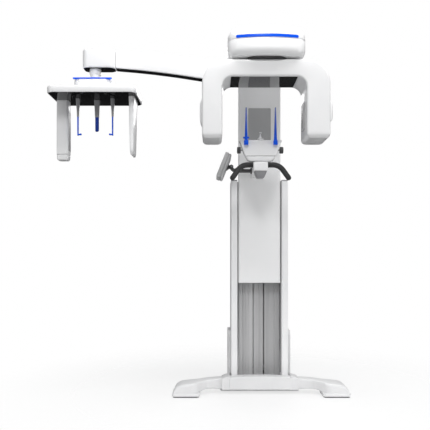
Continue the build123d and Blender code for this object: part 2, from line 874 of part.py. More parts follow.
rod_top = disc_low - gap
for side, name in ((-1, "ear_rod_left"), (1, "ear_rod_right")):
    with BuildPart() as ear_rod:
        with BuildSketch(Plane.XY.offset(rod_top)):
            with Locations((neck_x + side * ear_half, skull_y)):
                Rectangle(24, 30)
        with BuildSketch(Plane.XY.offset(1745)):
            with Locations((neck_x + side * ear_half, skull_y)):
                Rectangle(11, 16)
        loft()
        with Locations((neck_x + side * ear_half, skull_y, (1745 + ear_low) / 2)):
            Box(8, 14, 1745 - ear_low)
        with Locations((neck_x + side * (ear_half - 12), skull_y, ear_low + 7)):
            Cylinder(5, 24, rotation=(0, 90, 0))
    ear_rod.part.label = name
    export_step(ear_rod.part, f"parts/{name}.step")

nasion_y = skull_y + 36
with BuildPart() as nasion_rod:
    with Locations((neck_x + 4, nasion_y, (rod_top + 1749) / 2)):
        Box(36, 22, rod_top - 1749)
    with Locations((neck_x + 4, nasion_y, (1749 + nasion_low) / 2)):
        Box(25, 14, 1749 - nasion_low)
nasion_rod.part.label = "nasion_rod"
export_step(nasion_rod.part, "parts/nasion_rod.step")

with BuildPart() as ceph_sensor:
    with BuildSketch(Plane.XY.offset(sensor_low)):
        with Locations((sensor_x, sensor_y)):
            RectangleRounded(sensor_w, sensor_d, 14)
    extrude(amount=plate_low - gap - sensor_low)
ceph_sensor.part.label = "ceph_sensor"
export_step(ceph_sensor.part, "parts/ceph_sensor.step")

with BuildPart() as ceph_collimator:
    with BuildSketch(Plane.XY.offset(plate_low)):
        with Locations((blade_x + 2, blade_y)):
            Rectangle(blade_w + 10, blade_d)
    with BuildSketch(Plane.XY.offset(blade_low)):
        with Locations((blade_x, blade_y)):
            Rectangle(blade_w, blade_d - 30)
    loft()
ceph_collimator.part.label = "ceph_collimator"
export_step(ceph_collimator.part, "parts/ceph_collimator.step")

# ------------------------------------------------------------------ patient support
support_mid = (support_low + support_high) / 2
with BuildPart() as support_arm:
    with Locations((support_x, (block_back + cover_front) / 2, support_mid)):
        Box(support_w, cover_front - block_back, support_high - support_low)
        Box(support_w - 8, cover_front - block_back, support_high - support_low - 8, mode=Mode.SUBTRACT)
support_arm.part.label = "support_arm"
export_step(support_arm.part, "parts/support_arm.step")

block_mid = (block_back + block_front) / 2
cup_mid = (cup_back + cup_front) / 2
post_low = support_low + 6
with BuildPart() as nose_block:
    with Locations((support_x, block_mid, support_mid)):
        Box(block_w, block_back - block_front, support_high - support_low)
    with BuildSketch(Plane.XY.offset(support_low - 42)):
        with Locations((support_x, block_mid)):
            RectangleRounded(block_w - 12, block_back - block_front - 12, 10)
    extrude(amount=42)
    with BuildSketch(Plane.XY.offset(post_low - 2)):
        with Locations((support_x, cup_mid)):
            Circle(post_r + fit)
    extrude(amount=60, mode=Mode.SUBTRACT)
nose_block.part.label = "nose_block"
export_step(nose_block.part, "parts/nose_block.step")

grip_z = support_high - grip_r + 2
for side, name in ((-1, "grip_left"), (1, "grip_right")):
    with BuildPart() as grip:
        with BuildLine():
            FilletPolyline(
                (support_x + side * block_w / 2, block_mid, grip_z),
                (support_x + side * (block_w / 2 + 70), block_mid - 6, grip_z),
                (support_x + side * (block_w / 2 + 130), block_mid - 22, grip_z - 88),
                radius=50,
            )
        with BuildSketch(Plane(origin=(support_x + side * block_w / 2, block_mid, grip_z), z_dir=(side, 0, 0))):
            Circle(grip_r)
        sweep()
        fillet(grip.edges().group_by(Axis.Z)[0], grip_r - 3)
    grip.part.label = name
    export_step(grip.part, f"parts/{name}.step")

with BuildPart() as cup_hollow:
    with BuildSketch(Plane.XY.offset(cup_low + cup_wall)):
        with Locations((support_x, cup_mid)):
            Rectangle(cup_w_low - 2 * cup_wall, cup_back - cup_front - 2 * cup_wall)
    with BuildSketch(Plane.XY.offset(cup_high - cup_wall)):
        with Locations((support_x, cup_mid)):
            Rectangle(cup_w_high - 3 * cup_wall, cup_back - cup_front - 2 * cup_wall)
    loft()
with BuildPart() as chin_cup:
    with BuildSketch(Plane.XY.offset(cup_low)):
        with Locations((support_x, cup_mid)):
            Rectangle(cup_w_low, cup_back - cup_front)
    with BuildSketch(Plane.XY.offset(cup_high)):
        with Locations((support_x, cup_mid)):
            Rectangle(cup_w_high, cup_back - cup_front)
    loft()
    add(cup_hollow.part, mode=Mode.SUBTRACT)
    with BuildSketch(Plane.XY.offset(post_low)):
        with Locations((support_x, cup_mid)):
            Circle(post_r)
    extrude(amount=cup_low + cup_wall - post_low)
    # bores for the knob shaft and the bite block's stem
    with BuildSketch(Plane.YZ.offset(support_x - cup_w_high / 2)):
        with Locations((knob_y, knob_z)):
            Circle(shaft_r + fit)
    extrude(amount=cup_w_high, mode=Mode.SUBTRACT)
    with BuildSketch(Plane.XY.offset(cup_high - 2 * cup_wall)):
        with Locations((support_x, cup_mid)):
            Circle(bite_r + fit)
    extrude(amount=3 * cup_wall, mode=Mode.SUBTRACT)
chin_cup.part.label = "chin_cup"
export_step(chin_cup.part, "parts/chin_cup.step")

cup_half = cup_w_low / 2 + (cup_w_high - cup_w_low) / 2 * (knob_z + knob_r - cup_low) / (cup_high - cup_low)
with BuildPart() as temple_knobs:
    with Locations((support_x, knob_y, knob_z)):
        Cylinder(shaft_r, 2 * cup_half + 10, rotation=(0, 90, 0))
    with GridLocations(2 * cup_half + 26, 0, 2, 1):
        with Locations((support_x, knob_y, knob_z)):
            Cylinder(knob_r, 24, rotation=(0, 90, 0))
temple_knobs.part.label = "temple_knobs"
export_step(temple_knobs.part, "parts/temple_knobs.step")

for side, name in ((-1, "temple_rod_left"), (1, "temple_rod_right")):
    with BuildPart() as temple_rod:
        with BuildSketch(Plane.XY.offset(temple_low + 20)):
            with Locations((support_x + side * temple_x, temple_y)):
                Circle(10)
        with BuildSketch(Plane.XY.offset(temple_high)):
            with Locations((support_x + side * temple_x, temple_y)):
                Circle(3)
        loft()
        with Locations((support_x + side * temple_x, (temple_y - 12 + cup_front - gap) / 2, temple_low + 13)):
            Box(26, cup_front - gap - temple_y + 12, 26)
    temple_rod.part.label = name
    export_step(temple_rod.part, f"parts/{name}.step")

with BuildPart() as bite_block:
    with BuildSketch(Plane.XY.offset(cup_high - cup_wall - 6)):
        with Locations((support_x, cup_mid)):
            Circle(bite_r)
    extrude(amount=56)
    with BuildSketch(Plane.XY.offset(cup_high + gap)):
        with Locations((support_x, cup_mid)):
            Circle(24)
    with BuildSketch(Plane.XY.offset(cup_high + 12)):
        with Locations((support_x, cup_mid)):
            Circle(8)
    loft()
    with Locations((support_x, cup_mid - 5, cup_high + 46)):
        Box(16, 24, 8)
bite_block.part.label = "bite_block"
export_step(bite_block.part, "parts/bite_block.step")

# ------------------------------------------------------------------ control panel
pivot_x = panel_x + panel_t / 2 + 26
fork_w = 24
fork_len = 60
fork_gap = 32
fork_floor = panel_z - 20
with BuildPart() as panel_stem:
    with BuildSketch(Plane.YZ.offset(support_x - support_w / 2)):
        with Locations((stem_y, support_mid)):
            Circle(stem_r)
    extrude(amount=pivot_x - support_x + support_w / 2 + 6)
    with Locations((pivot_x, stem_y, panel_z - 10)):
        Box(fork_w, fork_len, 36)
    with Locations((pivot_x, stem_y, fork_floor + 20)):
        Box(fork_w + 2, fork_gap, 40, mode=Mode.SUBTRACT)
    with Locations((pivot_x, stem_y, panel_z)):
        Cylinder(pivot_r + fit, fork_len + 2, rotation=(90, 0, 0), mode=Mode.SUBTRACT)
panel_stem.part.label = "panel_stem"
export_step(panel_stem.part, "parts/panel_stem.step")

lean = Plane(
    origin=(panel_x, stem_y, panel_z),
    x_dir=(cos(radians(panel_lean)), 0, -sin(radians(panel_lean))),
    z_dir=(sin(radians(panel_lean)), 0, cos(radians(panel_lean))),
)
knuckle_end = pivot_x + 7
with BuildPart() as control_panel:
    with BuildSketch(lean.offset(-panel_h / 2)):
        RectangleRounded(panel_t, panel_len, 12)
    extrude(amount=panel_h)
    # knuckle and pin that turn in the stem's fork
    with Locations(((panel_x + knuckle_end) / 2, stem_y, panel_z)):
        Box(knuckle_end - panel_x, fork_gap - 2, 14)
    with Locations((pivot_x, stem_y, panel_z)):
        Cylinder(pivot_r, fork_len + 2, rotation=(90, 0, 0))
control_panel.part.label = "control_panel"
export_step(control_panel.part, "parts/control_panel.step")
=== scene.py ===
import math

import bpy
import numpy as np
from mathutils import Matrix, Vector


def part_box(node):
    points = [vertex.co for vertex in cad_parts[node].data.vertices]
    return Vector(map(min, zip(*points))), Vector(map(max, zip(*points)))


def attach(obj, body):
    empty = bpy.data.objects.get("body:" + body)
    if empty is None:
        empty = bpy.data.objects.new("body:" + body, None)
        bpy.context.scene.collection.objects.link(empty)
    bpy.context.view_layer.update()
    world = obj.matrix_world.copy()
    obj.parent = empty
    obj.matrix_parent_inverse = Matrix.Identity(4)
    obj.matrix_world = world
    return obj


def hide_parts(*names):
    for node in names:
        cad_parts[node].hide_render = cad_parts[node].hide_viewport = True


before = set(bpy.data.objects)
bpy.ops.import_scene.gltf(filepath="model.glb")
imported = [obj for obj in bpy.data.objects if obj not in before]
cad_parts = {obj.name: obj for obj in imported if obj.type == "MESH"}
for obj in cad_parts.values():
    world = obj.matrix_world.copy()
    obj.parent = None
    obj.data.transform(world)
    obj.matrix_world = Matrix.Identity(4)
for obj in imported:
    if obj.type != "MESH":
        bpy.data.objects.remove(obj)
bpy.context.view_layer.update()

# ---------------------------------------------------------------- studio
# A pale round floor that fades into white surroundings, two soft lamps high up in front of the
# machine, weaker ones low at both sides, one behind, dark surroundings for gloss, and the camera
# level, four metres in front and 0.92 m above the floor.
bpy.context.scene.view_settings.view_transform = "Standard"

camera_data = bpy.data.cameras.new("studio_camera")
camera_data.sensor_width = 36
camera_data.lens = 50.2
camera_data.shift_y = 0.081
camera = bpy.data.objects.new("studio_camera", camera_data)
camera.location = (-0.29, -4.03, 0.922)
camera.rotation_euler = (math.radians(90), 0, 0)
bpy.context.collection.objects.link(camera)
bpy.context.scene.camera = camera

for lamp_name, place, target, size, watts in (
    ("key_lamp", (0.3, -1.6, 5.0), (-0.2, -0.3, 1.0), 2.2, 156),
    ("front_lamp", (-0.3, -5.0, 4.6), (-0.1, -0.2, 1.0), 1.6, 98),
    ("right_lamp", (3.6, -2.6, 1.2), (0.1, -0.2, 1.0), 1.8, 46),
    ("left_lamp", (-4.2, -2.8, 1.3), (-0.4, -0.2, 1.0), 1.8, 40),
    ("back_lamp", (0.4, 3.6, 3.6), (0, 0, 1.2), 2.4, 60),
):
    lamp_data = bpy.data.lights.new(lamp_name, "AREA")
    lamp_data.shape = "DISK"
    lamp_data.size = size
    lamp_data.energy = watts
    lamp = bpy.data.objects.new(lamp_name, lamp_data)
    lamp.location = place
    lamp.rotation_euler = (Vector(target) - Vector(place)).to_track_quat("-Z", "Y").to_euler()
    bpy.context.collection.objects.link(lamp)

world = bpy.data.worlds.new("studio_world")
bpy.context.scene.world = world
world.use_nodes = True
sky = world.node_tree
sky.nodes.clear()


def plug(tree, node, values):
    """Fills a node's sockets, given by name or number: outputs are joined, anything else is set."""
    for key, value in values.items():
        if isinstance(value, bpy.types.NodeSocket):
            tree.links.new(value, node.inputs[key])
        else:
            node.inputs[key].default_value = value


def add_node(tree, kind, values, **settings):
    """A shader node with its own settings made and its sockets filled; gives back its outputs."""
    node = tree.nodes.new("ShaderNode" + kind)
    for name, value in settings.items():
        setattr(node, name, value)
    plug(tree, node, values)
    return node.outputs


ray = add_node(sky, "LightPath", {})
seen = add_node(sky, "Background", {"Color": (1, 1, 1, 1)})
lit = add_node(sky, "Background", {"Color": (0.98, 0.99, 1, 1), "Strength": 0.27})
dim = add_node(sky, "Background", {"Color": (0.02, 0.02, 0.02, 1)})
felt = add_node(sky, "MixShader", {0: ray["Is Glossy Ray"], 1: lit[0], 2: dim[0]})
either = add_node(sky, "MixShader", {0: ray["Is Camera Ray"], 1: felt[0], 2: seen[0]})
add_node(sky, "OutputWorld", {0: either[0]})


def skin(name, points, faces):
    """A mesh object from an array of points and a list of faces, its faces turned outward, smooth
    except where two faces meet at more than 35 degrees."""
    mesh = bpy.data.meshes.new(name)
    mesh.from_pydata(np.asarray(points).reshape(-1, 3).tolist(), [], faces)
    mesh.validate()
    mesh.calc_loop_triangles()
    corners = np.array([vertex.co for vertex in mesh.vertices])
    a, b, c = (corners[[triangle.vertices[k] for triangle in mesh.loop_triangles]] for k in range(3))
    if np.sum(a * np.cross(b, c)) < 0:
        mesh.flip_normals()
    mesh.shade_smooth()
    mesh.set_sharp_from_angle(angle=math.radians(35))
    piece = bpy.data.objects.new(name, mesh)
    bpy.context.collection.objects.link(piece)
    return piece


def fresh_material(name):
    """An empty node material, its Principled shader and its node tree."""
    material = bpy.data.materials.new(name)
    material.use_nodes = True
    tree = material.node_tree
    return material, tree.nodes["Principled BSDF"], tree


FLOOR_POINTS = 96
turn = np.linspace(0, 2 * np.pi, FLOOR_POINTS, endpoint=False)
rim = np.stack([6 * np.cos(turn), 6 * np.sin(turn), np.full(FLOOR_POINTS, -0.0005)], axis=1)
floor = skin("floor", rim, [list(range(FLOOR_POINTS))])
floor_paint, shader, tree = fresh_material("pale_floor")
plug(tree, shader, {"Base Color": (0.93, 0.93, 0.93, 1), "Roughness": 0.55})
away = add_node(tree, "VectorMath", {0: add_node(tree, "TexCoord", {})["Object"]}, operation="LENGTH")
fade = add_node(tree, "MapRange", {"Value": away["Value"], "From Min": 0.55, "From Max": 2.0},
                interpolation_type="SMOOTHSTEP")
clear = add_node(tree, "BsdfTransparent", {})
bright = add_node(tree, "Emission", {"Color": (0.97, 0.97, 0.97, 1)})
ray = add_node(tree, "LightPath", {})
share = add_node(tree, "Math", {0: ray["Is Camera Ray"], 1: 0.72}, operation="MULTIPLY")
lift = add_node(tree, "MixShader", {0: share[0], 1: shader.outputs[0], 2: bright[0]})
blend = add_node(tree, "MixShader", {0: fade["Result"], 1: lift[0], 2: clear[0]})
plug(tree, tree.nodes["Material Output"], {0: blend[0]})
floor.data.materials.append(floor_paint)

# ---------------------------------------------------------------- turning arm
# The U-shaped arm that carries the tube and the detector round the patient's head.  Its cover is a
# glossy white lacquered moulding, screwed to the bridge beam, with wide shoulders and crisp edges.
# Its white is drawn darker than the head's, which is painted shade.


def mottle(tree, scale, detail, low, high, stretch=(1, 1, 1)):
    """Noise over the piece's own coordinates, stretched to a range of values."""
    place = add_node(tree, "TexCoord", {})
    spread = add_node(tree, "Mapping", {"Vector": place["Object"], "Scale": stretch})
    noise = add_node(tree, "TexNoise", {"Vector": spread["Vector"], "Scale": scale, "Detail": detail})
    band = add_node(tree, "MapRange", {
        "Value": noise["Fac"], "From Min": 0.3, "From Max": 0.7, "To Min": low, "To Max": high,
    })
    return band["Result"]


def finish_material(name, light, dark, roughness, grain, depth, coat=0.0, metal=0.0, shine=0.5,
                    stretch=(1, 1, 1), tone_scale=9):
    """A finish that drifts between two colours, with a roughness that varies a little and a fine
    relief of the given grain (bumps per metre) and depth in metres, and a clear coat if asked."""
    material, shader, tree = fresh_material(name)
    tone = add_node(tree, "Mix", {
        0: mottle(tree, tone_scale, 3, 0, 1, stretch), 6: (*light, 1), 7: (*dark, 1),
    }, data_type="RGBA")
    relief = add_node(tree, "Bump", {
        "Height": mottle(tree, grain, 2, 0, 1, stretch), "Distance": depth, "Strength": 0.5,
    })
    plug(tree, shader, {
        "Base Color": tone[2], "Normal": relief["Normal"], "Metallic": metal, "Coat Weight": coat,
        "Roughness": mottle(tree, 45, 3, roughness * 0.88, roughness * 1.14, stretch),
        "Coat Roughness": 0.1, "Specular IOR Level": shine,
    })
    return material


white_cover = finish_material(
    "white_lacquered_cover", (0.86, 0.86, 0.864), (0.838, 0.839, 0.845), 0.32, 30, 0.000004, coat=0.3
)
white = (white_cover, "white_shell")
# A copy of the white lacquer drawn darker for the turning arm: painted shade, standing in for the shade under
# the head.
shaded_arm_white = finish_material(
    "white_arm_cover_painted_shade", (0.79, 0.79, 0.794), (0.768, 0.769, 0.775), 0.32, 30, 0.000004, coat=0.3
)
shaded_arm_coat = (shaded_arm_white, "white_shell")
gloss_black = finish_material(
    "gloss_black_panel", (0.004, 0.004, 0.005), (0.007, 0.007, 0.008), 0.08, 30, 0.000001, shine=0.42
)
black = (gloss_black, "dark_plastic")
black_mirror = finish_material(
    "mirror_black_panel", (0.26, 0.26, 0.263), (0.245, 0.245, 0.248), 0.06, 30, 0.0000004, metal=0.92
)


def dress(piece, body, finish, slot, *nodes):
    """Gives a piece its finish, the body it rides on and the nodes it stands for; the slot is not used."""
    piece.data.materials.clear()
    piece.data.materials.append(finish)
    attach(piece, body)
    if nodes:
        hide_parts(*nodes)
    return piece


def ring_faces(rings, count, closed=True):
    """Quads between neighbouring rings of count points, and one face over each end."""
    step = np.arange(rings - 1)[:, None] * count
    here = np.arange(count)[None, :]
    after = (here + 1) % count
    quads = np.stack([step + here, step + after, step + count + after, step + count + here], axis=-1)
    faces = quads.reshape(-1, 4).tolist()
    if closed:
        faces += [list(range(count))[::-1], list(range((rings - 1) * count, rings * count))]
    return faces


def rounded_outline(half_a, half_b, radius, steps=7):
    """Points round a rectangle with round corners, one row per ring: each point is its corner's
    centre plus the radius times the cosine and sine of an angle through that corner's quarter."""
    quarter = np.linspace(0, np.pi / 2, steps + 1)
    angle = np.concatenate([quarter + k * np.pi / 2 for k in range(4)])
    sign_a = np.repeat([1, -1, -1, 1], steps + 1)
    sign_b = np.repeat([1, 1, -1, -1], steps + 1)
    half_a, half_b, radius = (np.atleast_1d(v).astype(float)[:, None] for v in (half_a, half_b, radius))
    return (
        sign_a * (half_a - radius) + radius * np.cos(angle),
        sign_b * (half_b - radius) + radius * np.sin(angle),
    )


def soft_ends(low, high, edge, steps=6, middle=1):
    """Positions along a bar whose two ends are rounded, and how far the bar is drawn in there: the
    position runs as one minus the cosine of a quarter turn, the inset as one minus its sine."""
    quarter = np.linspace(0, np.pi / 2, steps + 1)
    start = low + edge * (1 - np.cos(quarter))
    inset = edge * (1 - np.sin(quarter))
    between = np.linspace(low + edge, high - edge, middle + 2)[1:-1]
    return (
        np.concatenate([start, between, high - edge * (1 - np.cos(quarter[::-1]))]),
        np.concatenate([inset, np.zeros(middle), inset[::-1]]),
    )


def glide(t, table):
    """Smooth values at t through the rows (position, value...) of a table: a cubic between rows
    whose slope at each row is the harmonic mean of its two sides, or nil where they change sign."""
    table = np.array(table, float)
    p, v = table[:, 0], table[:, 1:]
    side = np.diff(v, axis=0) / np.diff(p)[:, None]
    slope = np.zeros_like(v)
    same = side[1:] * side[:-1] > 0
    both = np.where(same, side[1:] + side[:-1], 1)
    slope[1:-1] = np.where(same, 2 * side[1:] * side[:-1] / both, 0)
    slope[0], slope[-1] = side[0], side[-1]
    k = np.clip(np.searchsorted(p, t, side="right") - 1, 0, len(p) - 2)
    h = (p[k + 1] - p[k])[:, None]
    u = np.clip((t - p[k])[:, None] / h, 0, 1)
    return (
        (1 + 2 * u) * (1 - u) ** 2 * v[k] + u * (1 - u) ** 2 * h * slope[k]
        + u**2 * (3 - 2 * u) * v[k + 1] + u**2 * (u - 1) * h * slope[k + 1]
    )


def loft_bar(name, along, rows, edge=0.004, rings=30, steps=7):
    """A bar along one axis through rounded rectangles.  Each row holds the position, the low and
    high of the next axis, the low and high of the one after it, and the corner radius; the rows
    are joined by smooth curves, and both ends are rounded by the edge radius."""
    c_axis = "xyz".index(along)
    a_axis, b_axis = (c_axis + 1) % 3, (c_axis + 2) % 3
    place, inset = soft_ends(rows[0][0], rows[-1][0], edge, middle=rings)
    a_low, a_high, b_low, b_high, radius = glide(place, rows).T
    half_a, half_b = (a_high - a_low) / 2 - inset, (b_high - b_low) / 2 - inset
    radius = np.minimum(np.maximum(radius - inset, 0.0003), np.minimum(half_a, half_b))
    a, b = rounded_outline(half_a, half_b, radius, steps)
    points = np.empty(a.shape + (3,))
    points[..., a_axis] = ((a_low + a_high) / 2)[:, None] + a
    points[..., b_axis] = ((b_low + b_high) / 2)[:, None] + b
    points[..., c_axis] = place[:, None]
    return skin(name, points, ring_faces(*a.shape))


def soft_block(name, low, high, corner, edge, along="z"):
    """A block between two corners with its long edges rounded to one radius, its ends to another."""
    c = "xyz".index(along)
    a, b = (c + 1) % 3, (c + 2) % 3
    row = (low[a], high[a], low[b], high[b], corner)
    return loft_bar(name, along, [(low[c], *row), (high[c], *row)], edge, rings=1)


def tube(name, path, radius, count=28, ends=0.3):
    """A round bar along a path of points, of one radius or one per point, its ends domed by the
    given share of the radius.  Each ring lies square to the path, turned as little as possible."""
    path = np.array(path, float)
    radius = np.broadcast_to(np.asarray(radius, float), len(path)).copy()
    ahead = np.gradient(path, axis=0)
    ahead /= np.linalg.norm(ahead, axis=1)[:, None]
    quarter = np.linspace(0, np.pi / 2, 6)[:-1]
    first = [path[0] - ahead[0] * radius[0] * ends * np.cos(q) for q in quarter]
    last = [path[-1] + ahead[-1] * radius[-1] * ends * np.cos(q) for q in quarter[::-1]]
    dome = np.maximum(np.sin(quarter), 0.02)
    dome = 1 - ends + ends * dome if ends < 0.9 else dome
    middle = np.concatenate([first, path, last])
    size = np.concatenate([dome * radius[0], radius, dome[::-1] * radius[-1]])
    heading = np.concatenate([np.repeat(ahead[:1], 5, axis=0), ahead, np.repeat(ahead[-1:], 5, axis=0)])
    side = np.cross(heading[0], (0, 0, 1) if abs(heading[0][2]) < 0.9 else (1, 0, 0))
    rings = []
    turn = np.linspace(0, 2 * np.pi, count, endpoint=False)
    for centre, r, direction in zip(middle, size, heading):
        side = side - direction * np.dot(side, direction)
        side = side / np.linalg.norm(side)
        up = np.cross(direction, side)
        rings.append(centre + r * (np.cos(turn)[:, None] * side + np.sin(turn)[:, None] * up))
    return skin(name, np.array(rings), ring_faces(len(rings), count))


def rounded_corners(corners, steps=8):
    """A closed outline through corner rows (a, b, radius): each corner becomes an arc that touches
    both of its sides, found by moving from the corner along them by radius over the tangent of
    half the angle between them."""
    corners = np.array(corners, float)
    outline = []
    for before, (a, b, radius), after in zip(
        np.roll(corners, 1, axis=0), corners, np.roll(corners, -1, axis=0)
    ):
        here = np.array((a, b))
        back = before[:2] - here
        on = after[:2] - here
        back, on = back / np.linalg.norm(back), on / np.linalg.norm(on)
        half = math.acos(max(-1.0, min(1.0, float(np.dot(back, on))))) / 2
        if radius <= 0 or half > 1.55:
            outline.append(here)
            continue
        reach = radius / math.tan(half)
        middle = (back + on) / np.linalg.norm(back + on)
        centre = here + middle * radius / math.sin(half)
        start, end = here + back * reach - centre, here + on * reach - centre
        sweep = math.pi - 2 * half
        spin = math.copysign(1, start[0] * end[1] - start[1] * end[0])
        for k in range(steps + 1):
            angle = spin * sweep * k / steps
            outline.append(centre + (
                start[0] * math.cos(angle) - start[1] * math.sin(angle),
                start[0] * math.sin(angle) + start[1] * math.cos(angle),
            ))
    return np.array(outline)


def drawn_in(outline, inset):
    """The outline moved inward by the inset: each point moves along the mean of its two sides'
    normals, by the inset over the cosine of half the turn there."""
    area = np.sum(outline[:, 0] * np.roll(outline[:, 1], -1) - np.roll(outline[:, 0], -1) * outline[:, 1])
    ahead = np.roll(outline, -1, axis=0) - outline
    ahead = ahead / np.linalg.norm(ahead, axis=1)[:, None]
    normal = np.stack([-ahead[:, 1], ahead[:, 0]], axis=1) * (1 if area > 0 else -1)
    both = normal + np.roll(normal, 1, axis=0)
    both = both / np.maximum(np.linalg.norm(both, axis=1)[:, None], 1e-6)
    lean = np.maximum(np.sum(both * normal, axis=1), 0.35)[:, None]
    return outline + both * inset / lean


def slab(name, corners, low, high, along, edge=0.003, steps=8, layers=None):
    """A flat outline, given as corner rows (a, b, radius), carried from low to high along an axis
    with both rims rounded.  Layers, if given, are rows (position, inset) instead of the rims."""
    outline = rounded_corners(corners, steps)
    if layers is None:
        layers = np.stack(soft_ends(low, high, edge), axis=1)
    c_axis = "xyz".index(along)
    a_axis, b_axis = (c_axis + 1) % 3, (c_axis + 2) % 3
    points = np.empty((len(layers), len(outline), 3))
    for k, (place, inset) in enumerate(layers):
        moved = drawn_in(outline, inset)
        points[k, :, a_axis], points[k, :, b_axis] = moved[:, 0], moved[:, 1]
        points[k, :, c_axis] = place
    return skin(name, points, ring_faces(len(layers), len(outline)))


def rectangle(a_low, a_high, b_low, b_high, radius, far=None):
    """Corner rows of a rectangle with round corners, the two at b_high of another radius if given."""
    far = radius if far is None else far
    return [(a_low, b_low, radius), (a_high, b_low, radius), (a_high, b_high, far), (a_low, b_high, far)]


bridge_box_low, bridge_box_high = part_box("rotor_bridge_shell")
left_low, left_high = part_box("rotor_left_shell")
right_low, right_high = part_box("rotor_right_shell")
arm_front, arm_back = bridge_box_low.y, bridge_box_high.y
shoulder = 0.140
armpit = 0.062
bridge_low = 1.894
leg_end = left_low.z


def arm_path(left, right, top, end, radius, leg_steps=14, arc_steps=20, span_steps=8):
    """Points up the left leg, round a quarter circle, along the bridge, round another and down."""
    quarter = np.linspace(0, np.pi / 2, arc_steps)
    up = np.linspace(end, top - radius, leg_steps, endpoint=False)
    across = np.linspace(left + radius, right - radius, span_steps + 2)[1:-1]
    x = np.concatenate([
        np.full(leg_steps, left), left + radius * (1 - np.cos(quarter)), across,
        right - radius * (1 - np.sin(quarter)), np.full(leg_steps, right),
    ])
    z = np.concatenate([
        up, top - radius * (1 - np.sin(quarter)), np.full(span_steps, top),
        top - radius * (1 - np.cos(quarter)), up[::-1],
    ])
    return np.stack([x, z], axis=1)


def turning_arm(name, front, back, radius):
    """Skin over the U: each ring is a rounded rectangle that spans from the outer path to the inner
    path and from front to back; both leg ends are drawn in along a quarter circle."""
    outer = arm_path(bridge_box_low.x, bridge_box_high.x, bridge_box_high.z, leg_end, shoulder)
    inner = arm_path(left_high.x, right_low.x, bridge_low, leg_end, armpit)
    end_edge = 0.026
    quarter = np.linspace(0, np.pi / 2, 8)
    lift = end_edge * (1 - np.cos(quarter))
    drawn = end_edge * (1 - np.sin(quarter))
    up = np.stack([np.zeros(8), lift], axis=1)
    keep_o, keep_i = outer[outer[:, 1] > leg_end + end_edge], inner[inner[:, 1] > leg_end + end_edge]
    out = np.concatenate([outer[0] + up, keep_o, (outer[-1] + up)[::-1]])
    inn = np.concatenate([inner[0] + up, keep_i, (inner[-1] + up)[::-1]])
    inset = np.concatenate([drawn, np.zeros(len(keep_o)), drawn[::-1]])
    middle = (out + inn) / 2
    reach = np.linalg.norm(out - inn, axis=1)
    across = (out - inn) / reach[:, None]
    half = reach / 2 - inset * 0.75
    depth = np.full(len(half), (back - front) / 2) - inset * 0.6
    a, b = rounded_outline(half, depth, np.full(len(half), radius) + inset * 0.4)
    points = np.empty(a.shape + (3,))
    points[..., 0] = middle[:, 0, None] + a * across[:, 0, None]
    points[..., 1] = (front + back) / 2 - b
    points[..., 2] = middle[:, 1, None] + a * across[:, 1, None]
    return skin(name, points, ring_faces(*a.shape))


dress(turning_arm("turning_arm_cover", arm_front, arm_back, 0.011), "rotor", *shaded_arm_coat,
      "rotor_bridge_shell", "rotor_left_shell", "rotor_right_shell")

reach = 0.041
underside = slab(
    "bridge_underside_panel",
    rectangle(left_high.x + reach, right_low.x - reach, arm_front + 0.013, arm_back - 0.013, 0.006),
    bridge_low - 0.0014, bridge_low + 0.004, "z", 0.0008,
)
dress(underside, "rotor", black_mirror, "dark_plastic")

# ---------------------------------------------------------------- turning arm's tube and detector sides
# The right leg holds the X-ray tube and the left leg the detector.  Each has a moulded rear cover
# with a swelling on its outer side, and a window on its inner face, all screwed to the arm.
for side, node, inner, bulge in (("left", "rotor_left_cover", left_high.x, 0.016),
                                 ("right", "rotor_right_cover", right_low.x, 0.042)):
    outer = left_low.x if side == "left" else right_high.x
    sign = -1 if side == "left" else 1
    deep = outer - sign * 0.030
    rows = []
    for height, out, near, far, corner in (
        (1.638, -0.004, -0.520, -0.440, 0.010), (1.655, 0.35 * bulge, -0.528, -0.434, 0.010),
        (1.690, 0.95 * bulge, -0.534, -0.429, 0.013), (1.728, bulge, -0.535, -0.428, 0.014),
        (1.770, 0.95 * bulge, -0.534, -0.429, 0.013), (1.803, 0.35 * bulge, -0.528, -0.434, 0.010),
        (1.818, -0.004, -0.520, -0.440, 0.010),
    ):
        face = outer + sign * out
        rows.append((height, min(deep, face), max(deep, face), near, far, corner))
    pod = loft_bar(f"{side}_leg_swelling", "z", rows, edge=0.004, rings=40)
    dress(pod, "rotor", *white, node)
    a, b = sorted((inner, outer))
    back = slab(f"{side}_leg_rear_cover", rectangle(1.556, 1.842, a + 0.008, b - 0.008, 0.012),
                -0.432, -0.427, "y", 0.0015)
    dress(back, "rotor", *white)

dark_trim = finish_material(
    "dark_moulded_trim", (0.022, 0.022, 0.024), (0.032, 0.032, 0.034), 0.42, 900, 0.00006
)
trim = (dark_trim, "dark_plastic")
smoked = finish_material(
    "smoked_window", (0.010, 0.010, 0.012), (0.014, 0.014, 0.016), 0.12, 40, 0.00001, coat=0.6
)
smoky = (smoked, "dark_plastic")
light_grey = finish_material(
    "light_grey_plastic", (0.42, 0.42, 0.425), (0.38, 0.38, 0.385), 0.4, 600, 0.00002, coat=0.05
)
screw_steel = finish_material(
    "dull_screw_steel", (0.42, 0.42, 0.43), (0.34, 0.34, 0.35), 0.34, 700, 0.00003, metal=1.0
)
steel = (screw_steel, "steel")

window = slab("detector_window", rectangle(-0.640, -0.470, 1.580, 1.815, 0.010),
              -0.2515, -0.2488, "x", 0.0008)
dress(window, "rotor", *smoky, "detector")
hood = soft_block("tube_window_hood", (0.2152, -0.601, 1.614), (0.2265, -0.509, 1.766), 0.0035, 0.0035, "z")
dress(hood, "rotor", light_grey, "dark_plastic", "collimator")
slit = soft_block("tube_window_slit", (0.2146, -0.5595, 1.632), (0.217, -0.5505, 1.748), 0.0008, 0.0008, "z")
dress(slit, "rotor", *smoky)


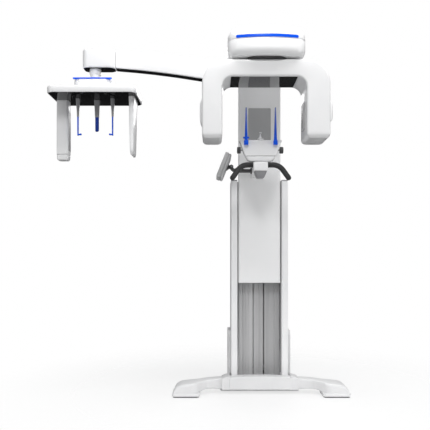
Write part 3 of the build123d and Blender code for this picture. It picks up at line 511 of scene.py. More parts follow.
def screw(name, centre, along, radius, proud, body):
    """A round screw head on a face, its centre given, standing proud towards the given direction."""
    along = np.array(along, float)
    centre = np.array(centre, float)
    path = [centre - along * 0.002, centre, centre + along * proud * 0.6]
    head = tube(name, path, [radius, radius, radius * 0.95], count=20, ends=0.12)
    return dress(head, body, *steel)


for side, a, b in (("left", left_low.x, left_high.x), ("right", right_low.x, right_high.x)):
    for k, (x, z) in enumerate((x, z) for z in (1.570, 1.828) for x in (a + 0.022, b - 0.022)):
        screw(f"{side}_leg_screw_{k + 1}", (x, -0.4270, z), (0, 1, 0), 0.0035, 0.0012, "rotor")

hub = slab("turning_hub_neck", rectangle(-0.116, 0.116, -0.700, -0.440, 0.060), 1.990, 1.9985, "z", 0.001)
dress(hub, "rotor", *trim, "rotor_hub")

# ---------------------------------------------------------------- head housing
# The long white housing over the turning arm: a lower tray and an upper lid of glossy moulded
# plastic that meet at a fine seam, with a blue light strip let into the bowed front.
head_half = 0.219
head_front = -0.735
head_back = 0.040
bow = 0.040
bow_radius = (head_half**2 + bow**2) / (2 * bow)


def front_face(x):
    """How far forward the bowed front lies at x: a circle through both front corners."""
    return head_front + bow_radius - np.sqrt(bow_radius**2 - np.square(x))


def head_outline(half, rear, rear_radius, steps=13):
    """Corner rows round the head seen from above, clockwise from the rear right."""
    across = np.linspace(half - 0.052, -(half - 0.052), steps)
    rows = [(half, rear, rear_radius), (half, front_face(half), 0.068)]
    rows += [(x, front_face(x), 0) for x in across]
    rows += [(-half, front_face(half), 0.068), (-half, rear, rear_radius)]
    return rows


quarter = np.linspace(0, np.pi / 2, 9)
seam = 2.092
tray = [(2.000 + 0.040 * (1 - math.cos(q)), 0.034 * (1 - math.sin(q))) for q in quarter]
tray += [(seam - 0.0022, 0), (seam - 0.0012, 0.0004), (seam - 0.0006, 0.0014)]
lid = [(seam + 0.0006, 0.0014), (seam + 0.0012, 0.0004), (seam + 0.0022, 0), (2.098, 0)]
lid += [(2.1055 + 0.0625 * math.sin(q), 0.0625 * (1 - math.cos(q))) for q in quarter]
lower = slab("head_lower_tray", head_outline(head_half, -0.148, 0.040), 0, 0, "z", layers=tray)
dress(lower, "carriage", *white, "head_lower_cover")
rear_half = head_half - 0.0006
rear_tray = slab("head_rear_tray", rectangle(-rear_half, rear_half, -0.260, head_back, 0.004, 0.070),
                 2.087, seam - 0.0008, "z", 0.004)
dress(rear_tray, "carriage", *white)
upper = slab("head_upper_lid", head_outline(head_half, head_back, 0.070), 0, 0, "z", layers=lid)
dress(upper, "carriage", *white, "head_upper_cover")


def bowed_strip(name, half_width, low, high, proud, round_end):
    """A strip that follows the bowed front: rings stand on the face at steps across it, each a
    rounded rectangle whose height shrinks along a quarter circle towards both ends."""
    x, inset = soft_ends(-half_width, half_width, round_end, steps=8, middle=24)
    a, b = rounded_outline(
        np.full(len(x), 0.003), np.maximum((high - low) / 2 - inset, 0.0008), np.full(len(x), 0.0007), 4
    )
    points = np.stack([
        np.broadcast_to(x[:, None], a.shape),
        front_face(x)[:, None] + 0.003 - proud + a,
        (low + high) / 2 + b,
    ], axis=-1)
    return skin(name, points, ring_faces(*a.shape))


led_blue, shader, tree = fresh_material("blue_light_strip")
glow = add_node(tree, "Mix", {
    0: mottle(tree, 14, 2, 0, 1), 6: (0.003, 0.070, 0.60, 1), 7: (0.005, 0.085, 0.66, 1),
}, data_type="RGBA")[2]
plug(tree, shader, {"Base Color": glow, "Emission Color": glow, "Emission Strength": 0.35,
                    "Roughness": 0.25, "Specular IOR Level": 0.2})
strip = bowed_strip("head_light_strip", 0.174, 2.0945, 2.1115, 0.0018, 0.0080)
dress(strip, "carriage", led_blue, "blue_light", "head_light_strip")

# ---------------------------------------------------------------- side arm
# The long arm that carries the skull unit: a white moulded beam over a steel core, a broad round
# end block bolted to its tip, and glossy black panels that close it from below.
arm_rows = [
    (-0.8990, -0.351, -0.283, 2.036, 2.1495, 0.010), (-0.750, -0.312, -0.243, 2.034, 2.1495, 0.010),
    (-0.550, -0.248, -0.178, 2.028, 2.1495, 0.010), (-0.350, -0.172, -0.098, 2.020, 2.1495, 0.010),
    (-0.230, -0.128, -0.046, 2.019, 2.1495, 0.010), (-0.130, -0.104, -0.010, 2.019, 2.1495, 0.010),
]
dress(loft_bar("side_arm_beam", "x", arm_rows, edge=0.003, rings=48), "carriage", *white, "ceph_arm")
under_rows = [(x, near + 0.004, far - 0.004, under - 0.0012, under + 0.006, 0.002)
              for x, near, far, under, *rest in arm_rows]
dress(loft_bar("side_arm_underside", "x", under_rows, edge=0.001, rings=48), "carriage", *black)
end_outline = [
    (-1.103, -0.372, 0.036), (-0.930, -0.372, 0.022), (-0.9005, -0.353, 0.012), (-0.9005, -0.281, 0.012),
    (-0.930, -0.262, 0.022), (-1.103, -0.262, 0.036),
]
dress(slab("side_arm_end", end_outline, 2.036, 2.150, "z", 0.009), "carriage", *white)
end_under = [
    (-1.098, -0.367, 0.031), (-0.932, -0.367, 0.017), (-0.906, -0.350, 0.008), (-0.906, -0.284, 0.008),
    (-0.932, -0.267, 0.017), (-1.098, -0.267, 0.031),
]
dress(slab("side_arm_end_underside", end_under, 2.0346, 2.044, "z", 0.0025), "carriage", *black)
neck_profile = (
    (1.950, 0.0185), (1.968, 0.0185), (1.970, 0.0235), (1.982, 0.0240), (1.984, 0.0290), (2.001, 0.0300),
    (2.003, 0.0345), (2.008, 0.0355), (2.036, 0.0355),
)
neck = tube("skull_unit_neck", [(-1.030, -0.317, z) for z, r in neck_profile], [r for z, r in neck_profile],
            count=48, ends=0.02)
dress(neck, "carriage", *white)

# ---------------------------------------------------------------- skull unit
# A flat white housing with a blue light strip hangs from the arm.  Below it a broad white plate with
# a black gloss underside carries the sensor leg, the slit blade and the turning positioner.


def oblong(half_x, half_y, radius, x=-1.030, y=-0.322):
    """Corner rows of a rounded rectangle round the skull unit's middle, or another."""
    return rectangle(x - half_x, x + half_x, y - half_y, y + half_y, radius)


def centred(middle, rows):
    """Loft rows about a middle, from rows of position, half width, low, high and corner radius."""
    return [(place, middle - half, middle + half, *rest) for place, half, *rest in rows]


dress(slab("skull_unit_housing", oblong(0.117, 0.094, 0.048), 1.903, 1.9535, "z", 0.003), "carriage",
      *white, "ceph_housing")
dress(soft_block("skull_unit_light_strip", (-1.1475, -0.4175, 1.9535), (-0.9125, -0.400, 1.9620),
                 0.003, 0.003, "x"),
      "carriage", led_blue, "blue_light")
dress(slab("skull_unit_lid", oblong(0.115, 0.092, 0.046), 1.9525, 1.9615, "z", 0.005), "carriage",
      *white)
plate_mid = dict(x=-1.030, y=-0.290)
plate_layers = [(1.8620, 0.0035), (1.8628, 0.0012), (1.8650, 0)]
plate_layers += [(1.8925 + 0.0125 * math.sin(q), 0.0125 * (1 - math.cos(q))) for q in quarter]
dress(slab("skull_plate", oblong(0.268, 0.176, 0.042, **plate_mid), 0, 0, "z", layers=plate_layers),
      "carriage", *white, "ceph_plate")
dress(slab("skull_plate_underside", oblong(0.2625, 0.1705, 0.038, **plate_mid), 1.8608, 1.868, "z", 0.001),
      "carriage", *black, "ceph_underside")
disc = tube("positioner_disc", [(-1.030, -0.322, z) for z in (1.8562, 1.8568, 1.8600, 1.8606)],
            [0.1375, 0.1395, 0.1395, 0.1390], count=96, ends=0.002)
dress(disc, "positioner", *black, "positioner_disc")

rod_grey = finish_material(
    "rod_holder_grey", (0.30, 0.30, 0.31), (0.25, 0.25, 0.26), 0.38, 500, 0.00004, coat=0.1
)
rod_blue = finish_material(
    "rod_blue", (0.004, 0.100, 0.78), (0.004, 0.085, 0.66), 0.32, 300, 0.00003, shine=0.3
)
blue = (rod_blue, "blue_plastic")
deep_blue = finish_material(
    "rod_deep_blue", (0.004, 0.040, 0.32), (0.004, 0.033, 0.27), 0.36, 300, 0.00003, shine=0.3
)
for side, name in ((-1, "left"), (1, "right")):
    x = -1.030 + side * 0.107
    holder = loft_bar(f"ear_holder_{name}", "z", centred(x, [
        (1.744, 0.0055, -0.330, -0.314, 0.004), (1.790, 0.0075, -0.332, -0.312, 0.005),
        (1.830, 0.0110, -0.336, -0.308, 0.006), (1.8552, 0.0120, -0.337, -0.307, 0.006),
    ]), edge=0.0015)
    dress(holder, f"ear_rod_{name}", rod_grey, "grey_plastic", f"ear_rod_{name}")
    blade = loft_bar(f"ear_blade_{name}", "z", centred(x, [
        (1.628, 0.0038, -0.328, -0.316, 0.003), (1.700, 0.0042, -0.329, -0.315, 0.003),
        (1.748, 0.0045, -0.329, -0.315, 0.003),
    ]), edge=0.002)
    dress(blade, f"ear_rod_{name}", *blue)
    path = [(x - side * inward, -0.322, z) for inward, z in ((0, 1.635), (0.010, 1.635), (0.017, 1.636))]
    tip = tube(f"ear_tip_{name}", path, [0.0048, 0.0048, 0.0062], count=20, ends=1.0)
    dress(tip, f"ear_rod_{name}", *blue)
holder = loft_bar("nasion_holder", "z", [
    (1.748, -1.0385, -1.0135, -0.2945, -0.2775, 0.004), (1.800, -1.0405, -1.0115, -0.296, -0.276, 0.005),
    (1.8552, -1.0440, -1.0080, -0.297, -0.275, 0.005),
], edge=0.0015)
dress(holder, "nasion_rod", rod_grey, "grey_plastic", "nasion_rod")
stem = loft_bar("nasion_stem", "z", [
    (1.659, -1.0360, -1.0200, -0.2925, -0.2795, 0.005), (1.668, -1.0370, -1.0150, -0.293, -0.279, 0.004),
    (1.750, -1.0375, -1.0145, -0.293, -0.279, 0.004),
], edge=0.004)
dress(stem, "nasion_rod", deep_blue, "blue_plastic")

sensor_body = loft_bar("sensor_leg", "z", [
    (1.5235, -1.2860, -1.2105, -0.271, -0.193, 0.016), (1.700, -1.2855, -1.2108, -0.271, -0.193, 0.015),
    (1.8612, -1.2850, -1.2110, -0.271, -0.193, 0.014),
], edge=0.0012)
dress(sensor_body, "ceph_sensor", *white, "ceph_sensor")
sensor_foot = loft_bar("sensor_leg_foot", "z", [
    (1.486, -1.2830, -1.2135, -0.268, -0.196, 0.018), (1.5225, -1.2858, -1.2107, -0.271, -0.193, 0.016),
], edge=0.009)
dress(sensor_foot, "ceph_sensor", *white)
sensor_face = slab("sensor_window", rectangle(-0.259, -0.205, 1.545, 1.800, 0.004),
                   -1.2120, -1.2098, "x", 0.0006)
dress(sensor_face, "ceph_sensor", light_grey, "dark_plastic")
blade = loft_bar("slit_blade", "z", [
    (1.505, -0.8080, -0.7930, -0.352, -0.231, 0.006), (1.530, -0.8105, -0.7905, -0.366, -0.217, 0.008),
    (1.650, -0.8130, -0.7880, -0.372, -0.211, 0.009), (1.800, -0.8150, -0.7850, -0.378, -0.205, 0.010),
    (1.8630, -0.8175, -0.7815, -0.380, -0.203, 0.011),
], edge=0.008)
dress(blade, "carriage", *white, "ceph_collimator")
blade_slit = soft_block("slit_blade_window", (-0.8158, -0.296, 1.600), (-0.8120, -0.287, 1.800), 0.001, 0.001)
dress(blade_slit, "carriage", *smoky)

# ---------------------------------------------------------------- column
# Two white powder-coated side rails stand beside a grooved grey aluminium extrusion whose slots the
# lift brackets run in.  A steel cover closes the back and moulded caps close the top.
white_paint = finish_material(
    "white_powder_coat", (0.89, 0.89, 0.893), (0.86, 0.86, 0.868), 0.42, 700, 0.00003, coat=0.05
)
paint = (white_paint, "white_metal")
grey_paint = finish_material(
    "grey_powder_coat", (0.66, 0.66, 0.665), (0.61, 0.61, 0.615), 0.45, 700, 0.00004
)
panel_grey = finish_material(
    "brushed_grey_extrusion", (0.62, 0.62, 0.625), (0.50, 0.50, 0.505), 0.45, 260, 0.00002, metal=0.1,
    stretch=(1, 1, 0.02), tone_scale=24,
)
cap_grey = finish_material(
    "moulded_grey_cap", (0.33, 0.33, 0.34), (0.29, 0.29, 0.30), 0.45, 800, 0.00004
)
for side, name in ((-1, "left"), (1, "right")):
    a, b = sorted((side * 0.144, side * 0.185))
    section = rectangle(a, b, -0.130, 0.130, 0.005)
    rail = slab(f"column_rail_{name}", section, 0.024, 1.3695, "z", 0.001)
    dress(rail, "column", *paint, f"column_rail_{name}")
    cap = slab(f"column_cap_{name}", section, 1.3700, 1.3775, "z", 0.003)
    dress(cap, "column", cap_grey, "grey_plastic", "column_caps")
middle_cap = slab("column_cap_middle", rectangle(-0.1435, 0.1435, -0.020, 0.135, 0.003),
                  1.3700, 1.3770, "z", 0.002)
dress(middle_cap, "column", cap_grey, "grey_plastic")


def grooved_front(half, front, back, grooves):
    """Corner rows of a panel seen from above whose front has square grooves (middle, width, depth)."""
    rows = [(half, front, 0.001), (half, back, 0.002), (-half, back, 0.002), (-half, front, 0.001)]
    for middle, width, depth in sorted(grooves):
        left, right = middle - width / 2, middle + width / 2
        rows += [(left, front, 0.0004), (left, front + depth, 0)]
        rows += [(right, front + depth, 0), (right, front, 0.0004)]
    return rows


panel_grooves = [(-0.035, 0.008, 0.022), (0.035, 0.008, 0.060), (0.0, 0.002, 0.0012)]
for middle, width, depth in (
    (0.105, 0.004, 0.004), (0.070, 0.002, 0.0015), (0.128, 0.002, 0.0015), (0.088, 0.002, 0.0012),
):
    panel_grooves += [(-middle, width, depth), (middle, width, depth)]
grooved = slab("column_panel", grooved_front(0.1438, -0.020, 0.108, panel_grooves),
               0.024, 1.3695, "z", 0.0002, steps=2)
dress(grooved, "column", panel_grey, "aluminium_panel", "column_extrusion")
rear_cover = slab("column_rear_cover", rectangle(-0.1435, 0.1435, 0.107, 0.135, 0.002, 0.006),
                  0.150, 1.3695, "z", 0.002)
dress(rear_cover, "column", *paint, "rear_cover")
service = slab("column_service_panel", rectangle(0.026, 0.148, -0.1435, 0.1435, 0.005),
               0.112, 0.1345, "y", 0.002)
dress(service, "column", *paint)
for k in range(9):
    z = 0.300 + 0.022 * k
    vent = soft_block(f"rear_vent_{k + 1}", (-0.070, 0.1330, z), (0.070, 0.1353, z + 0.007),
                      0.001, 0.001, "x")
    dress(vent, "column", *trim)
for k, (x, z) in enumerate((x, z) for z in (0.172, 0.760, 1.350, 0.044) for x in (-0.125, 0.125)):
    screw(f"rear_cover_screw_{k + 1}", (x, 0.1350, z), (0, 1, 0), 0.005, 0.0018, "column")

# ---------------------------------------------------------------- floor base
# A steel plate with two cast outriggers painted white; their foot pads have a bottom lip and stand on
# rubber.  A moulded fascia with an arched top hides the plate, and grey side gussets brace the column.
base_paint = finish_material(
    "base_powder_coat", (0.76, 0.76, 0.764), (0.73, 0.73, 0.738), 0.42, 700, 0.00003, coat=0.05
)
base_coat = (base_paint, "white_metal")
top_arc = [(0.107 + 0.006 * (1 - (x / 0.198) ** 2), x, 0) for x in np.linspace(0.186, -0.186, 15)]
fascia = slab("base_fascia", [(0.026, -0.198, 0.004), (0.026, 0.198, 0.004), (0.107, 0.198, 0.006), *top_arc,
                              (0.107, -0.198, 0.006)], -0.205, -0.131, "y", 0.005)
dress(fascia, "column", base_paint, "white_shell", "base_fascia")
for side, name in ((-1, "left"), (1, "right")):
    def across(a, b):
        """A pair of distances from the middle, as low and high on this side."""
        return sorted((side * a, side * b))

    arm_shape = [
        (0.200, -0.185, -0.095, 0.026, 0.097, 0.010), (0.262, -0.188, -0.097, 0.030, 0.095, 0.010),
        (0.335, -0.204, -0.104, 0.033, 0.091, 0.011), (0.378, -0.245, -0.117, 0.028, 0.088, 0.013),
        (0.408, -0.284, -0.131, 0.012, 0.087, 0.015), (0.440, -0.295, -0.134, 0.007, 0.085, 0.016),
        (0.500, -0.296, -0.134, 0.007, 0.078, 0.018), (0.533, -0.295, -0.135, 0.007, 0.062, 0.018),
        (0.552, -0.293, -0.137, 0.007, 0.034, 0.014),
    ]
    rows = [(side * x, *rest) for x, *rest in arm_shape]
    body = loft_bar(f"outrigger_{name}", "x", rows if side > 0 else rows[::-1], edge=0.005, rings=60)
    dress(body, "column", *base_coat, f"outrigger_{name}")
    a, b = across(0.385, 0.5588)
    lip = slab(f"foot_lip_{name}", rectangle(a, b, -0.300, -0.130, 0.018), 0.006, 0.025, "z", 0.004)
    dress(lip, "column", *base_coat)
    root_shape = [(0.196, -0.200, -0.088, 0.026, 0.113, 0.006), (0.222, -0.201, -0.088, 0.026, 0.109, 0.008),
                  (0.246, -0.203, -0.088, 0.026, 0.099, 0.008)]
    rows = [(side * x, *rest) for x, *rest in root_shape]
    root = loft_bar(f"outrigger_root_{name}", "x", rows if side > 0 else rows[::-1], edge=0.003, rings=10)
    dress(root, "column", *base_coat)
    a, b = across(0.1855, 0.205)
    gusset_shape = [(-0.091, 0.024, 0.003), (0.120, 0.024, 0.003), (0.120, 0.196, 0.030),
                    (0.090, 0.392, 0.012), (-0.071, 0.392, 0.012), (-0.091, 0.362, 0.010)]
    gusset = slab(f"side_gusset_{name}", gusset_shape, a, b, "x", 0.0025)
    dress(gusset, "column", grey_paint, "grey_metal", "side_gussets")

# ---------------------------------------------------------------- carriage front
# The sliding front of the machine: a long white moulded cover that runs down in front of the
# column, with the patient's mirror bonded on at face height.  The cover is drawn lighter than the
# other white covers, as painted light, and the mirror's grey is a painted reflection.
front_cover = slab("carriage_cover", rectangle(-0.1375, 0.1375, -0.118, -0.086, 0.010, 0.002),
                   0.707, 2.084, "z", 0.002)
# The front cover's white is drawn lighter than the other white covers: painted light on the cover.
lit_front_white = finish_material(
    "white_front_cover_painted_light", (0.93, 0.93, 0.932), (0.91, 0.911, 0.915), 0.36, 30, 0.000004, coat=0.2
)
dress(front_cover, "carriage", lit_front_white, "white_shell", "carriage_cover")
# The mirror's grey base colour is a painted reflection; only its thin clear coat reflects for real.
mirror_painted_reflection = finish_material(
    "grey_mirror_painted_reflection", (0.46, 0.463, 0.468), (0.44, 0.443, 0.448), 0.24, 30, 0.0000004, coat=0.2
)
mirror = slab("patient_mirror", rectangle(1.600, 1.845, -0.073, 0.073, 0.006), -0.1219, -0.1175, "y", 0.0008)
dress(mirror, "carriage", mirror_painted_reflection, "dark_glass", "mirror")

# ---------------------------------------------------------------- patient support
# A white steel arm carries the nose block.  The chin rest sits on it: a flared white cup with a
# plinth, two rubber-rimmed knobs, blue temple supports and a bite block.  Black rubber grips below.
mid = -0.018
dress(soft_block("support_arm", (mid - 0.040, -0.3865, 1.392), (mid + 0.040, -0.1185, 1.446),
                 0.006, 0.002, "y"),
      "carriage", *paint, "support_arm")
dress(soft_block("nose_block", (mid - 0.043, -0.470, 1.3925), (mid + 0.043, -0.387, 1.446), 0.007, 0.005),
      "carriage", *white, "nose_block")
keel = loft_bar("nose_block_keel", "z", [
    (1.350, mid - 0.022, mid + 0.018, -0.452, -0.402, 0.009),
    (1.366, mid - 0.030, mid + 0.028, -0.458, -0.396, 0.010),
    (1.3935, mid - 0.039, mid + 0.038, -0.465, -0.391, 0.010),
], edge=0.004)
dress(keel, "carriage", rod_grey, "grey_plastic")


def bent_path(points, reach, steps=10):
    """A path through three points whose corner is replaced by a curve that starts and ends the reach
    away from it: each point of it is the weighted mean of start, corner and end by (1-u) and u."""
    start, corner, end = (np.array(p, float) for p in points)
    near = corner + (start - corner) / np.linalg.norm(start - corner) * reach
    far = corner + (end - corner) / np.linalg.norm(end - corner) * reach
    u = np.linspace(0, 1, steps)[:, None]
    curve = (1 - u) ** 2 * near + 2 * u * (1 - u) * corner + u**2 * far
    first = start + (near - start) * np.linspace(0, 0.85, 4)[:, None]
    last = far + (end - far) * np.linspace(0.15, 1, 5)[:, None]
    return np.concatenate([first, curve, last])


grip_rubber = finish_material(
    "grip_rubber", (0.030, 0.030, 0.031), (0.038, 0.038, 0.039), 0.62, 1400, 0.00012, shine=0.4
)
for side, name in ((-1, "left"), (1, "right")):
    root = mid + side * 0.043
    path = bent_path([(root + side * 0.006, -0.4285, 1.432), (root + side * 0.070, -0.4345, 1.432),
                      (root + side * 0.124, -0.4490, 1.3525)], 0.042)
    grip = tube(f"grip_{name}", path, 0.016, count=36, ends=1.0)
    dress(grip, "carriage", grip_rubber, "rubber_black", f"grip_{name}")
    collar_path = ((0.0005, -0.4285), (0.003, -0.4287), (0.007, -0.4290))
    path = [(root + side * out, y, 1.432) for out, y in collar_path]
    collar = tube(f"grip_collar_{name}", path, 0.0172, count=36, ends=0.06)
    dress(collar, "carriage", dark_trim, "rubber_black")

plinth = loft_bar("chin_plinth", "z", centred(mid, [
    (1.4520, 0.066, -0.449, -0.398, 0.010), (1.4600, 0.078, -0.452, -0.395, 0.012),
    (1.4720, 0.086, -0.453, -0.394, 0.012), (1.4810, 0.091, -0.453, -0.394, 0.012),
]), edge=0.003)
dress(plinth, "chin_rest", *white, "chin_cup")
joint = loft_bar("chin_plinth_joint", "z", centred(mid, [
    (1.4800, 0.087, -0.450, -0.397, 0.010), (1.4840, 0.088, -0.450, -0.397, 0.010),
]), edge=0.0004, rings=2)
dress(joint, "chin_rest", *trim)
cup_flare = ((1.4830, 0.0935), (1.5300, 0.1100), (1.5640, 0.1220), (1.5690, 0.1260), (1.5768, 0.1280))
cup_rows = centred(mid, [(z, half, -0.455, -0.393, 0.012) for z, half in cup_flare])
dress(loft_bar("chin_cup", "z", cup_rows, edge=0.003), "chin_rest", *white)
post = tube("chin_post", [(mid, -0.424, z) for z in (1.4440, 1.4480, 1.4530)], 0.0139, count=36, ends=0.02)
dress(post, "chin_rest", *steel)


def knurled_disc(name, centre, radius, width, ridges=18, depth=0.035):
    """A knob on an X axis: rings whose radius rises and falls with the cosine of ridges times the
    angle, drawn in to a rounded rim on both faces."""
    turn = np.linspace(0, 2 * np.pi, ridges * 8, endpoint=False)
    place, inset = soft_ends(-width / 2, width / 2, 0.004, steps=5, middle=2)
    wave = 1 + depth * np.cos(ridges * turn) / 2 - depth / 2
    size = (radius - inset)[:, None] * wave[None, :]
    points = np.empty(size.shape + (3,))
    points[..., 0] = centre[0] + place[:, None]
    points[..., 1] = centre[1] + size * np.cos(turn)
    points[..., 2] = centre[2] + size * np.sin(turn)
    return skin(name, points, ring_faces(*size.shape))


knob_rubber = finish_material(
    "knob_rubber", (0.060, 0.060, 0.062), (0.075, 0.075, 0.077), 0.5, 1200, 0.00006
)
knob_y, knob_z = -0.415, 1.522
for side, name in ((-1, "left"), (1, "right")):
    x = mid + side * 0.128
    knob = knurled_disc(f"temple_knob_{name}", (x, knob_y, knob_z), 0.020, 0.022)
    dress(knob, "temple_knobs", knob_rubber, "dark_plastic", "temple_knobs")
    path = [(x + side * out, knob_y, knob_z) for out in (0.0095, 0.0100, 0.0113)]
    hub_cap = tube(f"temple_knob_cap_{name}", path, [0.0125, 0.0125, 0.0115], count=36, ends=0.03)
    dress(hub_cap, "temple_knobs", light_grey, "grey_plastic")
    path = [(x - side * inward, knob_y, knob_z) for inward in (0.030, 0.015, 0.006)]
    shaft = tube(f"temple_shaft_{name}", path, [0.0040] * 3, count=20, ends=0.05)
    dress(shaft, "temple_knobs", *steel)

# Translucent blue plastic: deep blue at the foot, paler and greyer towards the thin tip.
temple_blue, shader, tree = fresh_material("temple_support_blue")
split = add_node(tree, "SeparateXYZ", {0: add_node(tree, "TexCoord", {})["Object"]})
level = add_node(tree, "MapRange", {"Value": split["Z"], "From Min": 1.61, "From Max": 1.76})
fade_up = add_node(tree, "Mix", {
    0: level["Result"], 6: (0.002, 0.100, 0.80, 1), 7: (0.20, 0.27, 0.66, 1),
}, data_type="RGBA")
drift = add_node(tree, "CombineColor", dict.fromkeys(("Red", "Green", "Blue"), mottle(tree, 60, 2, 0.9, 1.0)))
vary = add_node(tree, "Mix", {0: 1.0, 6: fade_up[2], 7: drift[0]}, data_type="RGBA", blend_type="MULTIPLY")
plug(tree, shader, {"Base Color": vary[2], "Specular IOR Level": 0.3, "Roughness": 0.3})
pale_blue = (temple_blue, "blue_plastic")
for side, name in ((-1, "left"), (1, "right")):
    x = mid + side * 0.087
    heights = np.array([1.5660, 1.5760, 1.5900, 1.6300, 1.6800, 1.7300, 1.7650])
    thick = [0.0100, 0.0100, 0.0086, 0.0074, 0.0060, 0.0046, 0.0036]
    rod = tube(f"temple_rod_{name}", [(x, -0.469, z) for z in heights], thick, count=28, ends=0.9)
    dress(rod, f"temple_rod_{name}", *pale_blue, f"temple_rod_{name}")
    foot = soft_block(f"temple_foot_{name}", (x - 0.0128, -0.481, 1.5462), (x + 0.0128, -0.4554, 1.5718),
                      0.005, 0.003)
    dress(foot, f"temple_rod_{name}", *pale_blue)
path = [(mid - out, -0.469, 1.588) for out in (0.102, 0.087, 0.072)]
cross = tube("temple_rod_cross_knob", path, 0.0058, count=24, ends=0.5)
dress(cross, "temple_rod_left", *pale_blue)

bite_clear = finish_material(
    "bite_plastic", (0.78, 0.78, 0.785), (0.74, 0.74, 0.75), 0.25, 300, 0.00002, coat=0.5
)
stem_profile = ((1.5672, 0.0049), (1.5785, 0.0049), (1.5795, 0.0225), (1.5880, 0.0215), (1.5930, 0.0140),
                (1.6000, 0.0075), (1.6080, 0.0056), (1.6180, 0.0050))
path = [(mid, -0.424, z) for z, r in stem_profile]
stem = tube("bite_stem", path, [r for z, r in stem_profile], count=40, ends=0.02)
dress(stem, "bite_block", bite_clear, "bite_plastic", "bite_block")
fork = soft_block("bite_fork", (mid - 0.008, -0.441, 1.6190), (mid + 0.008, -0.417, 1.6268), 0.0035, 0.0025)
dress(fork, "bite_block", bite_clear, "bite_plastic")

# ---------------------------------------------------------------- control panel
# A light grey tablet that tilts on a jointed black arm beside the grips.  Its blank dark screen and
# four blank keys face the operator, to the left and up.
lean = math.radians(22)
flat = np.array((math.cos(lean), 0, -math.sin(lean)))
rise = np.array((math.sin(lean), 0, math.cos(lean)))
panel_mid = np.array((-0.234, -0.251, 1.443))


def leaning(piece):
    """Turns a piece that was made upright about the origin into the panel's leaning frame: its X
    becomes the panel's thickness direction, its Z the panel's height."""
    for vertex in piece.data.vertices:
        x, y, z = vertex.co
        vertex.co = panel_mid + flat * x + rise * z + np.array((0, y, 0))
    piece.data.update()
    return piece


panel_shell = finish_material(
    "panel_grey_shell", (0.62, 0.62, 0.625), (0.58, 0.58, 0.585), 0.38, 500, 0.00004, coat=0.1
)
panel_back_grey = finish_material(
    "panel_grey_back", (0.58, 0.58, 0.585), (0.53, 0.53, 0.535), 0.45, 700, 0.00005
)
shell_rows = rectangle(-0.115, 0.115, -0.080, 0.080, 0.016)
back_rows = [(a * 0.985, b * 0.98, r) for a, b, r in shell_rows]
face_part = leaning(slab("panel_front_shell", shell_rows, -0.0205, 0.0035, "x", 0.005))
dress(face_part, "control_panel", panel_shell, "grey_plastic", "control_panel")
back_part = leaning(slab("panel_back_shell", back_rows, 0.0025, 0.0205, "x", 0.010))
dress(back_part, "control_panel", panel_back_grey, "grey_plastic")
screen = leaning(slab("panel_screen", rectangle(-0.092, 0.092, -0.034, 0.066, 0.006),
                      -0.0211, -0.0190, "x", 0.0005))
dress(screen, "control_panel", *smoky)
for k in range(4):
    y = -0.066 + 0.044 * k
    key = leaning(slab(f"panel_key_{k + 1}", rectangle(y - 0.014, y + 0.014, -0.063, -0.049, 0.006),
                       -0.0214, -0.0190, "x", 0.0008))
    dress(key, "control_panel", panel_back_grey, "grey_plastic")
stem_grey = finish_material(
    "stem_dark_grey", (0.085, 0.085, 0.087), (0.105, 0.105, 0.107), 0.45, 900, 0.00005
)
stem_coat = (stem_grey, "dark_plastic")
pivot = np.array((-0.1875, -0.251, 1.443))
path = [pivot + (x, 0, z) for x, z in (
    (0.004, 0), (-0.006, 0), (-0.014, 0.0005), (-0.022, 0.001), (-0.030, 0.002),
)]
socket = tube("panel_socket", path, [0.0090, 0.0092, 0.0130, 0.0210, 0.0260], count=32, ends=0.2)
dress(socket, "control_panel", *stem_coat)
pin = tube("panel_pin", [pivot + (0, y, 0) for y in (-0.0315, 0, 0.0315)], 0.0058, count=24, ends=0.1)
dress(pin, "control_panel", *steel)
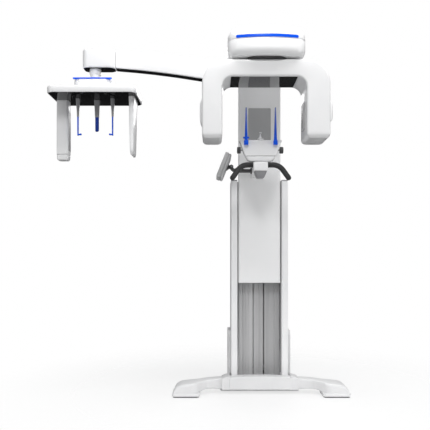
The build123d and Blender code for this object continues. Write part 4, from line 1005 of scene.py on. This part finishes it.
for k, y in enumerate((-0.023, 0.023)):
    path = [pivot + (0, y + step, 0) for step in (-0.0065, 0, 0.0065)]
    cheek = tube(f"panel_cheek_{k + 1}", path, 0.0125, count=32, ends=0.12)
    dress(cheek, "carriage", *stem_coat, "panel_stem")
    path = [pivot + (0.001, y, -0.004), pivot + (0.006, y * 0.9, -0.013), pivot + (0.018, y * 0.6, -0.021),
            pivot + (0.032, y * 0.2, -0.022)]
    link = tube(f"panel_fork_{k + 1}", path, [0.0085, 0.0090, 0.0100, 0.0125], count=24, ends=0.8)
    dress(link, "carriage", *stem_coat)
path = [(x, pivot[1], z) for x, z in (
    (-0.156, 1.4240), (-0.140, 1.4220), (-0.115, 1.4200), (-0.090, 1.4190), (-0.058, 1.419),
)]
stem = tube("panel_stem", path, [0.0155, 0.0150, 0.0125, 0.0120, 0.0120], count=32, ends=0.6)
dress(stem, "carriage", *stem_coat)
path = [(x, pivot[1], 1.419) for x in (-0.0660, -0.0620, -0.0575)]
flange = tube("panel_stem_flange", path, [0.019, 0.020, 0.020], count=36, ends=0.05)
dress(flange, "carriage", *stem_coat)

# ---------------------------------------------------------------- inner works and small fittings
# What the covers hide, kept as the CAD made it: the base plate, rubber feet, lift screw, motors,
# guide rails, brackets, the turning arm's beam and tube, and the mains inlet with its switch.
plate_paint = finish_material(
    "base_plate_paint", (0.66, 0.66, 0.665), (0.60, 0.60, 0.605), 0.5, 600, 0.00006
)
foot_rubber = finish_material(
    "foot_rubber", (0.030, 0.030, 0.031), (0.045, 0.045, 0.046), 0.75, 900, 0.0002, shine=0.3
)
machined = finish_material(
    "machined_steel", (0.52, 0.52, 0.53), (0.40, 0.40, 0.41), 0.3, 380, 0.00003, metal=1.0,
    stretch=(1, 1, 0.08),
)
frame_metal = finish_material(
    "frame_aluminium", (0.46, 0.46, 0.47), (0.36, 0.36, 0.37), 0.42, 420, 0.00004, metal=0.8,
    stretch=(1, 1, 0.1),
)
cast_black = finish_material(
    "black_cast_housing", (0.030, 0.030, 0.032), (0.050, 0.050, 0.052), 0.55, 700, 0.0002
)
for finish, names in (
    (plate_paint, ("base_plate",)), (foot_rubber, ("rubber_feet",)),
    (machined, ("guide_rails", "lift_screw", "guide_shoes", "lift_nut_bracket", "screw_bearings",
                "slew_bearing")),
    (frame_metal, ("carriage_frame", "head_frame", "rotor_beam")),
    (cast_black, ("lift_motor", "slew_motor", "main_switch", "power_inlet")),
    (panel_back_grey, ("tube_head",)),
):
    for node in names:
        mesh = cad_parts[node].data
        mesh.materials.clear()
        mesh.materials.append(finish)
